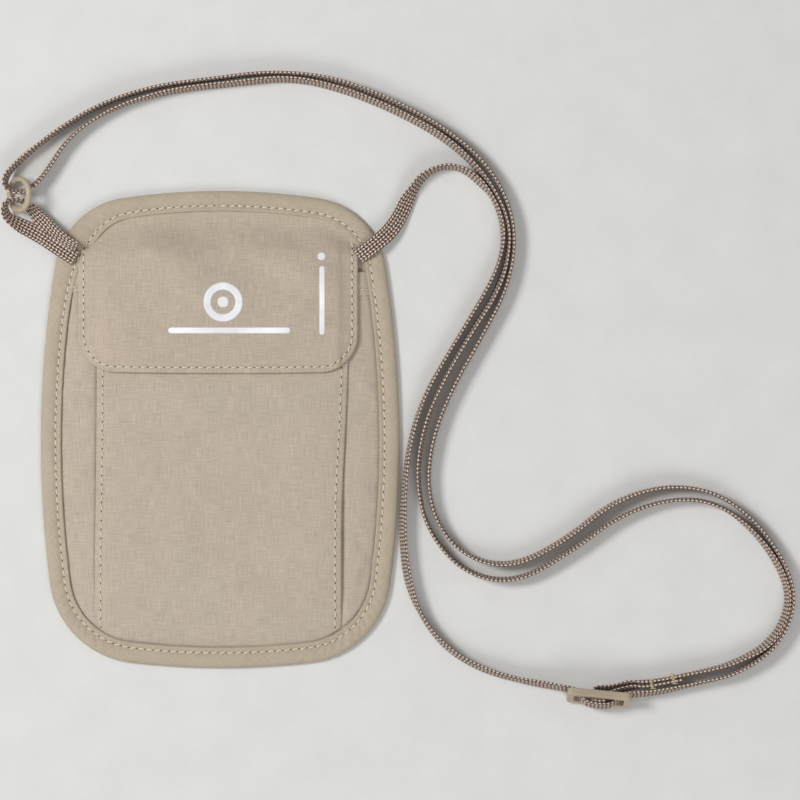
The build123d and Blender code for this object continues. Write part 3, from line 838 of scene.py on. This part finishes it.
def pocket_top(x, y):
    """The pocket's surface: a low pillow with soft wrinkles and drawn-in seams."""
    z = puff(x, y, 2.2, 4.1, 9.0)
    inner = smooth((depth_inside(x, y) - 1) / 10)
    z = z + 0.30 * inner * field(x, y, 34, 1.7) + 0.10 * inner * field(x * 1.5, y * 0.5, 7, 8.2)
    z = z + creases(
        x, y, ((-44, -28), (-14, -70), 4.0, 0.35), ((40, -24), (30, -78), 3.5, 0.30),
        ((-30, 18), (22, 4), 7.0, 0.22), ((-8, -10), (36, -46), 6.0, -0.25),
    )
    for edge, way in ((pocket_left(y), 1), (pocket_right(y), -1)):
        gap = (x - edge) * way
        ripple = 1 + 0.5 * np.cos(y * 2 * math.pi / STITCH_PITCH)
        z = z - 0.16 * np.exp(-(((gap - PLEAT_SEAM) / 0.7) ** 2)) * ripple
        z = z - 0.35 * np.exp(-((gap / 1.6) ** 2))
    return z


def strip_top(x, y):
    """The side strips beyond the pocket's folds."""
    depth = depth_inside(x, y)
    z = puff(x, y, 2.15, 1.9, 5.0)
    loose = smooth(depth / 4)
    z = z + 0.24 * loose * field(x * 1.6, y * 0.5, 11, 2.9) + 0.08 * loose * field(x * 1.4, y, 4.5, 7.7)
    out = np.abs(x)
    z = z + creases(
        out, y, ((52, 18), (61, 13), 1.6, 0.45), ((50, -38), (58, -52), 2.2, -0.40),
        ((49, -62), (55, -46), 1.5, 0.35),
    )
    return z - 0.9 * smooth((48.5 - out) / 3.5)


def pocket_cloth():
    """The pocket between its two folds, from the lower binding to the mouth."""
    columns = edge_spaced(-POCKET_HALF, POCKET_HALF, 1.0) / POCKET_HALF
    rows = edge_spaced(0, 100, 0.72) / 100
    share, up = np.meshgrid(columns, rows)
    y = bottom_edge(share * POCKET_HALF) * (1 - up) + POCKET_MOUTH * up
    middle, half = (pocket_right(y) + pocket_left(y)) / 2, (pocket_right(y) - pocket_left(y)) / 2
    x = middle + share * half
    gap = np.minimum(np.minimum(x - pocket_left(y), pocket_right(y) - x), POCKET_MOUTH - y)
    top, under = lapped(pocket_top(x, y), gap, 0.8)
    return cloth_piece("pocket_cloth", x, y, top, 0.8, FABRIC, under)


def side_cloth(name, side, band):
    """The strip between a pocket fold and the binding, up to its hem's fold."""
    mouth = band[1] - 0.25
    share, y = np.meshgrid(np.linspace(0, 1, 26), edge_spaced(-74.0, mouth, 0.9))
    inner = 44.5
    outer = np.maximum(half_width(y), inner + 0.2)
    x = side * (inner + share * (outer - inner))
    if side < 0:
        x, y = x[:, ::-1], y[:, ::-1]
    top, under = lapped(strip_top(x, y), mouth - y, 0.6)
    return cloth_piece(name, x, y, top, 0.6, FABRIC, under)


def hem_top(x, y, surface, band):
    """A hem turned over on a surface, a little proud of it, with a row of stitches drawn in."""
    seam = np.exp(-(((y - band[2]) / 0.6) ** 2))
    ripple = 1 + 0.5 * np.cos(x * 2 * math.pi / STITCH_PITCH)
    return surface(x, y) + 0.48 - 0.18 * seam * ripple


def hem_cloth(name, low_x, high_x, surface, band, outer=None):
    """A turned-over band between two places across the pouch. outer names the side, if any, where
    it runs out to the binding instead."""
    share, y = np.meshgrid(np.linspace(0, 1, max(8, int(abs(high_x - low_x) / 0.9))),
                           edge_spaced(band[0], band[1], 0.7))
    low, high = low_x + 0 * y, high_x + 0 * y
    if outer == "left":
        low = -half_width(y)
    if outer == "right":
        high = half_width(y)
    x = low + share * (high - low)
    gap = np.minimum(y - band[0], band[1] - y)
    top, under = lapped(hem_top(x, y, surface, band), gap, 0.85, 0.35)
    return cloth_piece(name, x, y, top, 0.75, FABRIC, under)


pocket = pocket_cloth()
side_left = side_cloth("pocket_side_cloth_left", -1, LEFT_BAND)
side_right = side_cloth("pocket_side_cloth_right", 1, RIGHT_BAND)
pocket_hem = hem_cloth(
    "pocket_hem_cloth", pocket_left(60.0) + 0.4, pocket_right(60.0) - 0.4, pocket_top, POCKET_BAND
)
side_hem_left = hem_cloth("side_hem_cloth_left", -60, -48.0, strip_top, LEFT_BAND, outer="left")
side_hem_right = hem_cloth("side_hem_cloth_right", 49.5, 60, strip_top, RIGHT_BAND, outer="right")

# ---- pouch: binding -----------------------------------------------------------------

# The folded tape's section, as (inset from the outline, height): over the top leg from its inner
# edge, round the outside, along the lower leg and back inside.
BINDING_OUTSIDE = (
    (7.6, 2.50), (7.62, 2.85), (7.4, 3.12), (6.9, 3.16), (6.3, 2.94), (5.6, 2.68), (5.1, 2.90),
    (4.8, 3.04), (3.8, 3.16), (2.8, 3.14), (1.9, 3.00), (1.1, 2.74), (0.5, 2.36), (0.15, 1.90),
    (0.0, 1.45), (0.1, 0.95), (0.45, 0.50), (1.0, 0.20), (1.8, 0.05), (2.9, 0.0), (4.4, 0.0),
    (5.5, 0.03), (6.0, 0.14), (6.5, 0.03), (7.3, 0.02), (7.6, 0.2),
)
RELIEF_POINTS = 14
BINDING_INSIDE = (
    (7.55, 0.5), (6.0, 0.52), (2.2, 0.55), (1.0, 0.9), (0.75, 1.5), (1.0, 2.0), (2.2, 2.55),
    (4.0, 2.6), (6.0, 2.2), (7.5, 2.2),
)


BASE, OUTWARD, AROUND = outline_loop(0, 0.62)
GIRTH = AROUND[-1] + AROUND[1]
MIRRORED = np.minimum(AROUND, GIRTH - AROUND)


def near(x, y, reach):
    """1 at a point of the outline, and falling off round it."""
    return np.exp(-(((BASE[:, 0] - x) ** 2 + (BASE[:, 1] - y) ** 2) / reach ** 2))


# The binding is wider round the left shoulder, and puckers at the shoulders and lower corners.
WIDER = 3.0 * near(-57, 74, 17)
PUCKERED = 0.12 + near(-56, 76, 17) + near(56, 76, 17) + near(-53, -80, 19) + near(53, -80, 19)


def binding_xy(inset):
    """Points all round the binding at an inset."""
    return BASE - OUTWARD * (inset + WIDER * min(inset / 6, 1))[:, None]


SEAM_XY = binding_xy(SEAM_INSET)
SEAM_RUN = distances(SEAM_XY)
SEAM_LENGTH = distances(close(SEAM_XY))[-1]
BINDING_PITCH = SEAM_LENGTH / round(SEAM_LENGTH / STITCH_PITCH)


def binding_relief(inset):
    """How far the binding's surface stands above its section at an inset, all round."""
    seam = math.exp(-(((inset - SEAM_INSET) / 0.8) ** 2))
    needle = 0.5 + 0.5 * np.cos(SEAM_RUN * 2 * math.pi / BINDING_PITCH)
    slanted = MIRRORED + 0.9 * inset
    level = np.zeros(len(slanted))
    swell = 0.14 * field(slanted, level, 7.5, 4.4) + 0.08 * field(slanted, level + inset * 0.6, 3.4, 9.1)
    waves = np.sin(slanted * 2 * math.pi / 4.3 + 4 * field(slanted, level, 19, 5.5))
    reach = math.exp(-(((inset - 3.9) / 1.7) ** 2))
    pucker = -0.9 * PUCKERED * reach * np.clip(waves, 0, 1) ** 4
    return min(inset / 1.5, 1) * (swell + pucker) - seam * (0.12 + 0.2 * needle)


def binding_cloth():
    """The folded binding all round the pouch, its weave on the bias."""
    section = np.array(BINDING_OUTSIDE + BINDING_INSIDE)
    columns = []
    for number, (inset, height) in enumerate(section):
        z = height + (binding_relief(inset) if number < RELIEF_POINTS else 0 * AROUND)
        columns.append(np.column_stack([binding_xy(inset), z]))
    points = np.stack(columns, axis=1)
    across = distances(section)
    faces = grid_faces(*points.shape[:2], wrap_columns=True, wrap_rows=True)
    bias = np.stack([AROUND[:, None] + across, AROUND[:, None] - across], axis=-1) * 0.707
    return new_piece("binding_tape", points.reshape(-1, 3), faces, BINDING_FABRIC, bias.reshape(-1, 2))


binding = binding_cloth()

# ---- flap ---------------------------------------------------------------------------

FLAP_BOTTOM = box_mm("flap_panel")[0][1] + 0.3
FLAP_MIDDLE = -0.8
FLAP_HALF = box_mm("flap_panel")[1][0]
FLAP_CORNER = 14.0
FLAP_SEAM = 2.1
FLAP_ARCH_START = 52.0
FLAP_THICKNESS = 0.95


def flap_gap(x, y):
    """Distance in from the flap's free edges."""
    qx = np.abs(x - FLAP_MIDDLE) - (FLAP_HALF - FLAP_CORNER)
    qy = (FLAP_BOTTOM + FLAP_CORNER) - flap_straight(x, y)
    outside = np.hypot(np.clip(qx, 0, None), np.clip(qy, 0, None))
    return FLAP_CORNER - outside - np.clip(np.maximum(qx, qy), None, 0)


def flap_belly(x):
    """The flap's lower edge hangs slightly lower in the middle."""
    return 0.7 * (1 - (x / FLAP_HALF) ** 2)


def flap_straight(x, y):
    """y with the belly of the lower edge taken out."""
    return y + flap_belly(x) * smooth((45 - y) / 30)


def flap_top(x, y):
    """The flap's surface: it rises from the arch of the binding and then lies over the pocket."""
    gap = flap_gap(x, y)
    on_pocket = 1 - smooth((np.abs(x) - 44) / 7)
    support = pocket_top(x, y) * on_pocket + strip_top(x, y) * (1 - on_pocket)
    down = top_edge(x) - y
    rise = smooth((down - 2.0) / np.maximum(top_edge(x) - POCKET_MOUTH - 3.2, 4.0))
    z = (2.35 - 0.2 * np.exp(-(((down - 4) / 2.5) ** 2))) * (1 - rise) + (support + 1.8) * rise
    inner = smooth((depth_inside(x, y) - 0.5) / 9)
    z = z + inner * (0.20 * field(x, y, 30, 6.1) + 0.14 * field(x * 0.8, y * 1.3, 8.5, 3.3)) * rise
    z = z + creases(
        x, y, ((-54, 58), (-8, 80), 4.5, -0.75), ((-54, 50), (-12, 72), 4.5, 0.85),
        ((10, 70), (50, 50), 4.5, 0.60), ((18, 76), (52, 60), 3.4, -0.60),
        ((-38, 78), (10, 42), 8.0, 1.70), ((-16, 80), (32, 47), 7.0, -0.90),
        ((-46, 26), (-30, 38), 2.2, 0.25), ((30, 26), (44, 38), 3.0, -0.25),
    )
    seam = np.exp(-(((gap - FLAP_SEAM) / 0.65) ** 2))
    run = np.where(np.abs(x) > FLAP_HALF - 6, y, x)
    return z - seam * (0.16 + 0.08 * np.cos(run * 2 * math.pi / STITCH_PITCH)) * smooth(gap + 1)


def flap_grid(margin, step):
    """Points over the flap, a margin in from its free edges, up to the arch of the binding."""
    half = FLAP_HALF - margin
    x, y = rounded_grid(
        (-half, half), (FLAP_BOTTOM + margin, 90.0), FLAP_CORNER - margin, step, round_top=False
    )
    x = x + FLAP_MIDDLE
    share = (y - FLAP_ARCH_START) / (90.0 - FLAP_ARCH_START)
    arch = FLAP_ARCH_START + share * (top_edge(x) - FLAP_ARCH_START)
    y = np.where(y > FLAP_ARCH_START, arch, y)
    return x, y - flap_belly(x) * smooth((45 - y) / 30)


def flap_cloth():
    """The flap's outer fabric."""
    x, y = flap_grid(0.0, 0.8)
    top, under = lapped(flap_top(x, y), flap_gap(x, y), FLAP_THICKNESS, 0.6)
    return cloth_piece("flap_cloth", x, y, top, FLAP_THICKNESS, FLAP_FABRIC_SHADED, under)


def flap_lining_cloth():
    """The flap's lining, just inside the fabric's edge."""
    x, y = flap_grid(1.2, 1.6)
    return cloth_piece("flap_lining_cloth", x, y, flap_top(x, y) - FLAP_THICKNESS + 0.05, 0.2, LINING_FABRIC)


def closure_half(name, node, top, thickness, material):
    """One half of the hook-and-loop closure, on a surface."""
    low, high = box_mm(node)
    x, y = rounded_grid((low[0], high[0]), (low[1], high[1]), 2.0, 1.2)
    return cloth_piece(name, x, y, top(x, y), thickness, material)


flap = flap_cloth()
flap_lining = flap_lining_cloth()
loop_half = closure_half("loop_closure", "loop_strip", lambda x, y: pocket_top(x, y) + 0.3, 0.4, LOOP_PILE)
hook_half = closure_half(
    "hook_closure", "hook_strip", lambda x, y: flap_top(x, y) - FLAP_THICKNESS - 0.1, 0.3, HOOK_TAPE
)

# ---- stitching ----------------------------------------------------------------------


def stitches(name, path, material=THREAD, pitch=STITCH_PITCH, length=2.35, radius=0.31, slant=0.2,
             sink=0.0, phase=0.5):
    """Short threads in a row along a path of surface points, each diving in at both ends."""
    at = distances(path)
    middles = np.arange(phase * pitch, at[-1] - length / 2, pitch)
    sides, rings = 8, 9
    share = np.linspace(-0.5, 0.5, rings)
    points, faces, uv = [], [], []
    for number, middle in enumerate(middles):
        wobble = 0.12 * math.sin(number * 2.4) + slant
        places = middle + share * length
        line = points_at(places, at, path)
        aside = unit(np.cross([0, 0, 1.0], unit(line[-1] - line[0])))
        line += np.outer(share * length * wobble, aside)
        line[:, 2] += radius * (0.75 - 9.0 * np.abs(share) ** 3) - sink
        taper = radius * np.sqrt(np.clip(1 - (2 * np.abs(share)) ** 4, 0.08, 1))
        start = len(points)
        for ring in range(rings):
            for k in range(sides):
                angle = 2 * math.pi * k / sides
                spread = aside * math.cos(angle) + np.array([0, 0, 1.0]) * math.sin(angle)
                points.append(line[ring] + spread * taper[ring])
                uv.append((places[ring], angle))
        faces += grid_faces(rings, sides, wrap_columns=True, start=start)
        faces += tape_caps(rings, sides, start)
    piece = new_piece(name, points, faces, material, uv)
    return piece


def needle_hole_painted_shades(name, path, pitch=STITCH_PITCH):
    """Dark dents where the thread goes down between two stitches, coloured dark as painted shade in the
    holes.
    """
    return stitches(name, path, HOLE_PAINTED_SHADE, pitch, length=0.7, radius=0.21, slant=0.0, sink=0.08, phase=1.0)


def on(surface, xy):
    """Points of a plan path, laid on a surface."""
    return np.column_stack([xy, surface(xy[:, 0], xy[:, 1])])


binding_seam = close(np.column_stack([SEAM_XY, 2.70 + binding_relief(SEAM_INSET)]))


def flap_seam_plan(inset):
    """The row of stitches just inside the flap's free edge, from the left anchor round to the right."""
    half, low, radius = FLAP_HALF - inset, FLAP_BOTTOM + inset, FLAP_CORNER - inset
    top = top_edge(half) - 0.6
    turn = np.linspace(0, math.pi / 2, 40)
    arc = radius * np.column_stack([np.cos(turn), np.sin(turn)])
    left_corner = np.array([radius - half, radius + low]) - arc
    right_corner = (left_corner * [-1, 1])[::-1]
    left = np.column_stack([np.full(90, -half), np.linspace(top, low + radius, 90, endpoint=False)])
    right = (left * [-1, 1])[::-1]
    bottom_x = np.linspace(-half + radius, half - radius, 160)[1:-1]
    bottom = np.column_stack([bottom_x, np.full(len(bottom_x), low)])
    plan = np.vstack([left, left_corner, bottom, right_corner, right])
    plan[:, 0] += FLAP_MIDDLE
    plan[:, 1] -= flap_belly(plan[:, 0]) * smooth((45 - plan[:, 1]) / 30)
    return plan


def pleat_plan(edge, way):
    """The row of stitches just inside a fold of the pocket."""
    y = np.linspace(HEM_BOTTOM, -84, 300)
    x = edge(y) + way * PLEAT_SEAM
    inside = y > bottom_edge(x) + 0.8
    return np.column_stack([x[inside], y[inside]])


def hem_seam_line(surface, band, low_x, high_x):
    """The row of stitches along a hem."""
    x, y = np.linspace(low_x, high_x, 60), np.full(60, band[2])
    return np.column_stack([x, y, hem_top(x, y, surface, band)])


flap_seam = on(flap_top, flap_seam_plan(FLAP_SEAM))
pleat_left = on(pocket_top, pleat_plan(pocket_left, 1))
pleat_right = on(pocket_top, pleat_plan(pocket_right, -1))
hem_seam = hem_seam_line(pocket_top, POCKET_BAND, -44, 45.5)
left_hem_seam = hem_seam_line(strip_top, LEFT_BAND, -60.5, -49)
right_hem_seam = hem_seam_line(strip_top, RIGHT_BAND, 50, 60.5)

binding_thread = stitches("binding_stitches", binding_seam, pitch=BINDING_PITCH)
binding_hole_painted_shades = needle_hole_painted_shades("binding_needle_hole_painted_shades", binding_seam, pitch=BINDING_PITCH)
flap_thread = stitches("flap_stitches", flap_seam, length=2.2)
flap_hole_painted_shades = needle_hole_painted_shades("flap_needle_hole_painted_shades", flap_seam)
pleat_thread_left = stitches("pleat_stitches_left", pleat_left, pitch=3.4, radius=0.27)
pleat_thread_right = stitches("pleat_stitches_right", pleat_right, pitch=3.4, radius=0.27)
pleat_hole_painted_shades_left = needle_hole_painted_shades("pleat_needle_hole_painted_shades_left", pleat_left, pitch=3.4)
pleat_hole_painted_shades_right = needle_hole_painted_shades("pleat_needle_hole_painted_shades_right", pleat_right, pitch=3.4)
hem_thread = stitches("hem_stitches", hem_seam, radius=0.22)
SHORT_STITCH = {"radius": 0.28, "length": 1.9, "pitch": 2.4, "sink": -0.16}
side_hem_thread_left = stitches("side_hem_stitches_left", left_hem_seam, **SHORT_STITCH)
side_hem_thread_right = stitches("side_hem_stitches_right", right_hem_seam, **SHORT_STITCH)

# ---- bar tacks ----------------------------------------------------------------------


def bar_tack(name, centre, heading, length, width, z, material=THREAD, passes=16, radius=0.2):
    """A dense zigzag of thread across a short bar."""
    along = np.array([math.cos(heading), math.sin(heading), 0])
    across = np.array([-along[1], along[0], 0])
    corners = []
    for step in range(passes + 1):
        share = step / passes - 0.5
        swell = 0.75 + 0.5 * abs(2 * share) ** 2
        side = (1 if step % 2 else -1) * width / 2 * swell
        middle = np.array([*centre, z]) + along * share * length
        corners += [middle + across * side - [0, 0, 0.25], middle + across * side * 0.55 + [0, 0, 0.06]]
        corners += [middle + along * length / passes / 2 + [0, 0, 0.16]]
    line, at = spline_points(corners, 0.12)
    tangent = unit(np.gradient(line, axis=0))
    aside = unit(np.cross(tangent, [0.05, 0.02, 1.0]))
    upward = np.cross(aside, tangent)
    sides = 6
    points, uv = [], []
    for place, a, b, distance in zip(line, aside, upward, at):
        for k in range(sides):
            angle = 2 * math.pi * k / sides
            points.append(place + radius * (a * math.cos(angle) + b * math.sin(angle)))
            uv.append((distance, angle))
    faces = grid_faces(len(line), sides, wrap_columns=True) + tape_caps(len(line), sides)
    piece = new_piece(name, points, faces, material, uv)
    return piece


TAB_TACK = {"heading": math.radians(102), "length": 3.9, "width": 1.9}
TAB_TACK |= {"material": TACK_THREAD, "passes": 11, "radius": 0.17}
near_tack = bar_tack("tab_stitches_near", (162.6, -95.8), z=6.5, **TAB_TACK)
far_tack = bar_tack("tab_stitches_far", (170.8, -93.9), z=6.6, **TAB_TACK)
left_tack = bar_tack("anchor_stitches_left", (-58.2, 70.6), math.radians(-60), 5.0, 1.8, 3.2)
right_tack = bar_tack("anchor_stitches_right", (57.4, 69.4), math.radians(130), 5.0, 1.8, 3.2)

# ---- link ring ----------------------------------------------------------------------

RING_WIRE = 1.15
RING_RADIUS = 5.85
RING_TILT = math.radians(49.0)
RING_CENTRE = sum(box_mm("link_ring")) / 2


def moulded_ring():
    """A moulded plastic ring with a faint parting line round its outside."""
    around, sides = 120, 28
    uphill = np.array([math.cos(RING_TILT), 0, math.sin(RING_TILT)])
    axis = np.cross(uphill, [0, 1.0, 0])
    points = []
    for i in range(around):
        turn = 2 * math.pi * i / around
        outward = uphill * math.cos(turn) + np.array([0, 1.0, 0]) * math.sin(turn)
        wire = RING_WIRE * (1 + 0.012 * math.sin(3 * turn))
        for k in range(sides):
            angle = 2 * math.pi * k / sides
            ridge = 0.045 * math.exp(-((math.sin(angle) / 0.09) ** 2)) * (math.cos(angle) > 0)
            reach = wire * (1 - 0.03) + ridge
            points.append(RING_CENTRE + outward * (RING_RADIUS + reach * math.cos(angle))
                          + axis * reach * math.sin(angle))
    faces = grid_faces(around, sides, wrap_columns=True, flip=True, wrap_rows=True)
    return new_piece("link_ring_moulding", points, faces, PLASTIC)


ring = moulded_ring()

# ---- printed marks on the flap ----------------------------------------------------------


def printed(name, x, y):
    """A thin layer of print that follows the flap."""
    piece = cloth_piece(name, x, y, flap_top(x, y) + 0.06, 0.1, PRINT)
    return piece


def printed_bar(name, centre, size):
    """A plain bar of print with round ends, or a dot."""
    half_x, half_y = size[0] / 2, size[1] / 2
    radius = min(half_x, half_y) * 0.98
    x_places = np.linspace(-half_x, half_x, max(7, int(size[0] / 0.5)))
    y_places = np.linspace(-half_y, half_y, max(7, int(size[1] / 0.5)))
    x, y = np.meshgrid(x_places, y_places)
    a = np.clip((np.abs(x) - half_x + radius) / radius, 0, 1)
    b = np.clip((np.abs(y) - half_y + radius) / radius, 0, 1)
    round_x = np.sign(x) * (half_x - radius + radius * a * np.sqrt(1 - b * b / 2))
    round_y = np.sign(y) * (half_y - radius + radius * b * np.sqrt(1 - a * a / 2))
    x = np.where(a > 0, round_x, x)
    y = np.where(b > 0, round_y, y)
    return printed(name, centre[0] + x, centre[1] + y)


def printed_ring(name, centre, inner, outer):
    """A plain ring of print, closed by welding where it meets."""
    turn, reach = np.meshgrid(np.linspace(0, 2 * math.pi, 97), np.linspace(outer, inner, 6))
    piece = printed(name, centre[0] + reach * np.cos(turn), centre[1] + reach * np.sin(turn))
    weld = piece.modifiers.new("join", "WELD")
    weld.merge_threshold = 0.00001
    return piece


prints = [
    printed_ring("print_ring", (1.3, 48.0), 4.6, 7.4),
    printed_bar("print_dot", (1.3, 48.0), (4.2, 4.2)),
    printed_bar("print_bar", (3.6, 37.3), (46.0, 2.2)),
    printed_bar("print_upright", (38.5, 48.6), (2.0, 26.0)),
    printed_bar("print_upright_dot", (38.3, 65.2), (3.0, 3.0)),
]

# ---- stage --------------------------------------------------------------------------


def area_light(name, location, energy, size):
    """A large soft light that points at the middle of the pouch and strap."""
    data = bpy.data.lights.new(name, "AREA")
    data.energy = energy
    data.size = size
    light = bpy.data.objects.new(name, data)
    light.location = location
    aim = Vector((VIEW_CENTRE[0] * MM, VIEW_CENTRE[1] * MM, 0)) - light.location
    light.rotation_euler = aim.to_track_quat("-Z", "Y").to_euler()
    bpy.context.scene.collection.objects.link(light)


area_light("key", (-0.9, 0.35, 1.2), 13.5, 0.45)
area_light("fill", (0.5, -1.2, 1.1), 7.5, 0.8)
world = bpy.data.worlds.new("studio")
world.use_nodes = True
world.node_tree.nodes["Background"].inputs[0].default_value = (1.0, 1.0, 1.0, 1)
world.node_tree.nodes["Background"].inputs[1].default_value = 0.355
bpy.context.scene.world = world
bpy.context.scene.view_settings.view_transform = "Standard"

floor_mesh = bpy.data.meshes.new("floor")
floor_mesh.from_pydata([(-3, -3, 0), (3, -3, 0), (3, 3, 0), (-3, 3, 0)], [], [(0, 1, 2, 3)])
floor_mesh.materials.append(plain_material("floor", (226, 226, 224), 0.9, 400.0, 0.01, tone_change=0.01))
floor = bpy.data.objects.new("floor", floor_mesh)
bpy.context.scene.collection.objects.link(floor)

# ---- bodies, replaced CAD nodes and the slider's material slot --------------------------

# Each piece with its body, its slot and the CAD nodes that it replaces. The blended pieces have no
# body here, and threads, tapes and prints got their slots where they were made.
PIECES = (
    (back_panel, "pouch", "ripstop_fabric", "back_panel"),
    (foil, "pouch", "shield_foil", "rear_shield"),
    (divider, "pouch", "ripstop_fabric", "divider_panel"),
    (pocket, "pouch", "ripstop_fabric", "pocket_panel"),
    (side_left, "pouch", "ripstop_fabric", "pocket_side_left"),
    (side_right, "pouch", "ripstop_fabric", "pocket_side_right"),
    (pocket_hem, "pouch", "ripstop_fabric", "pocket_hem"),
    (side_hem_left, "pouch", "ripstop_fabric", "side_hem_left"),
    (side_hem_right, "pouch", "ripstop_fabric", "side_hem_right"),
    (binding, "pouch", "binding_fabric", "edge_binding"),
    (loop_half, "pouch", "hook_and_loop", "loop_strip"),
    (binding_thread, "pouch", None, "binding_thread"),
    (binding_hole_painted_shades, "pouch", None),
    (pleat_thread_left, "pouch", None, "pleat_thread_left"),
    (pleat_thread_right, "pouch", None, "pleat_thread_right"),
    (pleat_hole_painted_shades_left, "pouch", None),
    (pleat_hole_painted_shades_right, "pouch", None),
    (hem_thread, "pouch", None, "hem_thread"),
    (side_hem_thread_left, "pouch", None),
    (side_hem_thread_right, "pouch", None),
    (left_tack, "pouch", None, "anchor_tack_left"),
    (right_tack, "pouch", None, "anchor_tack_right"),
    (short_loop, "pouch", None, "short_loop"),
    (hook_half, "flap", "hook_and_loop", "hook_strip"),
    *((mark, "flap", None) for mark in prints),
    (weave, "slider", None, "slider_weave"),
    (tab, "slider", None, "tab_loop", "tab_outer_layer", "tab_inner_layer"),
    (near_tack, "slider", None, "tab_tack_near"),
    (far_tack, "slider", None, "tab_tack_far"),
    (ring, "ring", "hardware_plastic", "link_ring"),
    (flap, None, "ripstop_fabric", "flap_panel", "flap_root"),
    (flap_lining, None, "ripstop_fabric", "flap_lining"),
    (flap_thread, None, None, "flap_thread"),
    (single_strap, None, None, "strap_single", "strap_to_slider"),
    (double_strap, None, None, "strap_from_slider", "strap_outer", "strap_ring_turn", "strap_inner",
     "strap_to_tab"),
)
for piece, body, slot, *nodes in PIECES:
    if body:
        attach(piece, body)
    if nodes:
        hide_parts(*nodes)
for piece in (flap, flap_lining, flap_thread, flap_hole_painted_shades):
    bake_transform(piece)
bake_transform(single_strap)
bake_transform(double_strap)

slider_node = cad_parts["strap_slider"]
slider_node.data.materials.clear()
slider_node.data.materials.append(PLASTIC)


def outline_area(inset):
    """The area inside the pouch's outline, pulled in by inset."""
    loop, _, _ = outline_loop(inset, 1.0)
    x, y = loop[:, 0], loop[:, 1]
    return abs(np.dot(x, np.roll(y, 1)) - np.dot(y, np.roll(x, 1))) / 2


panel_area = outline_area(1.0)
outline_area(12.0)
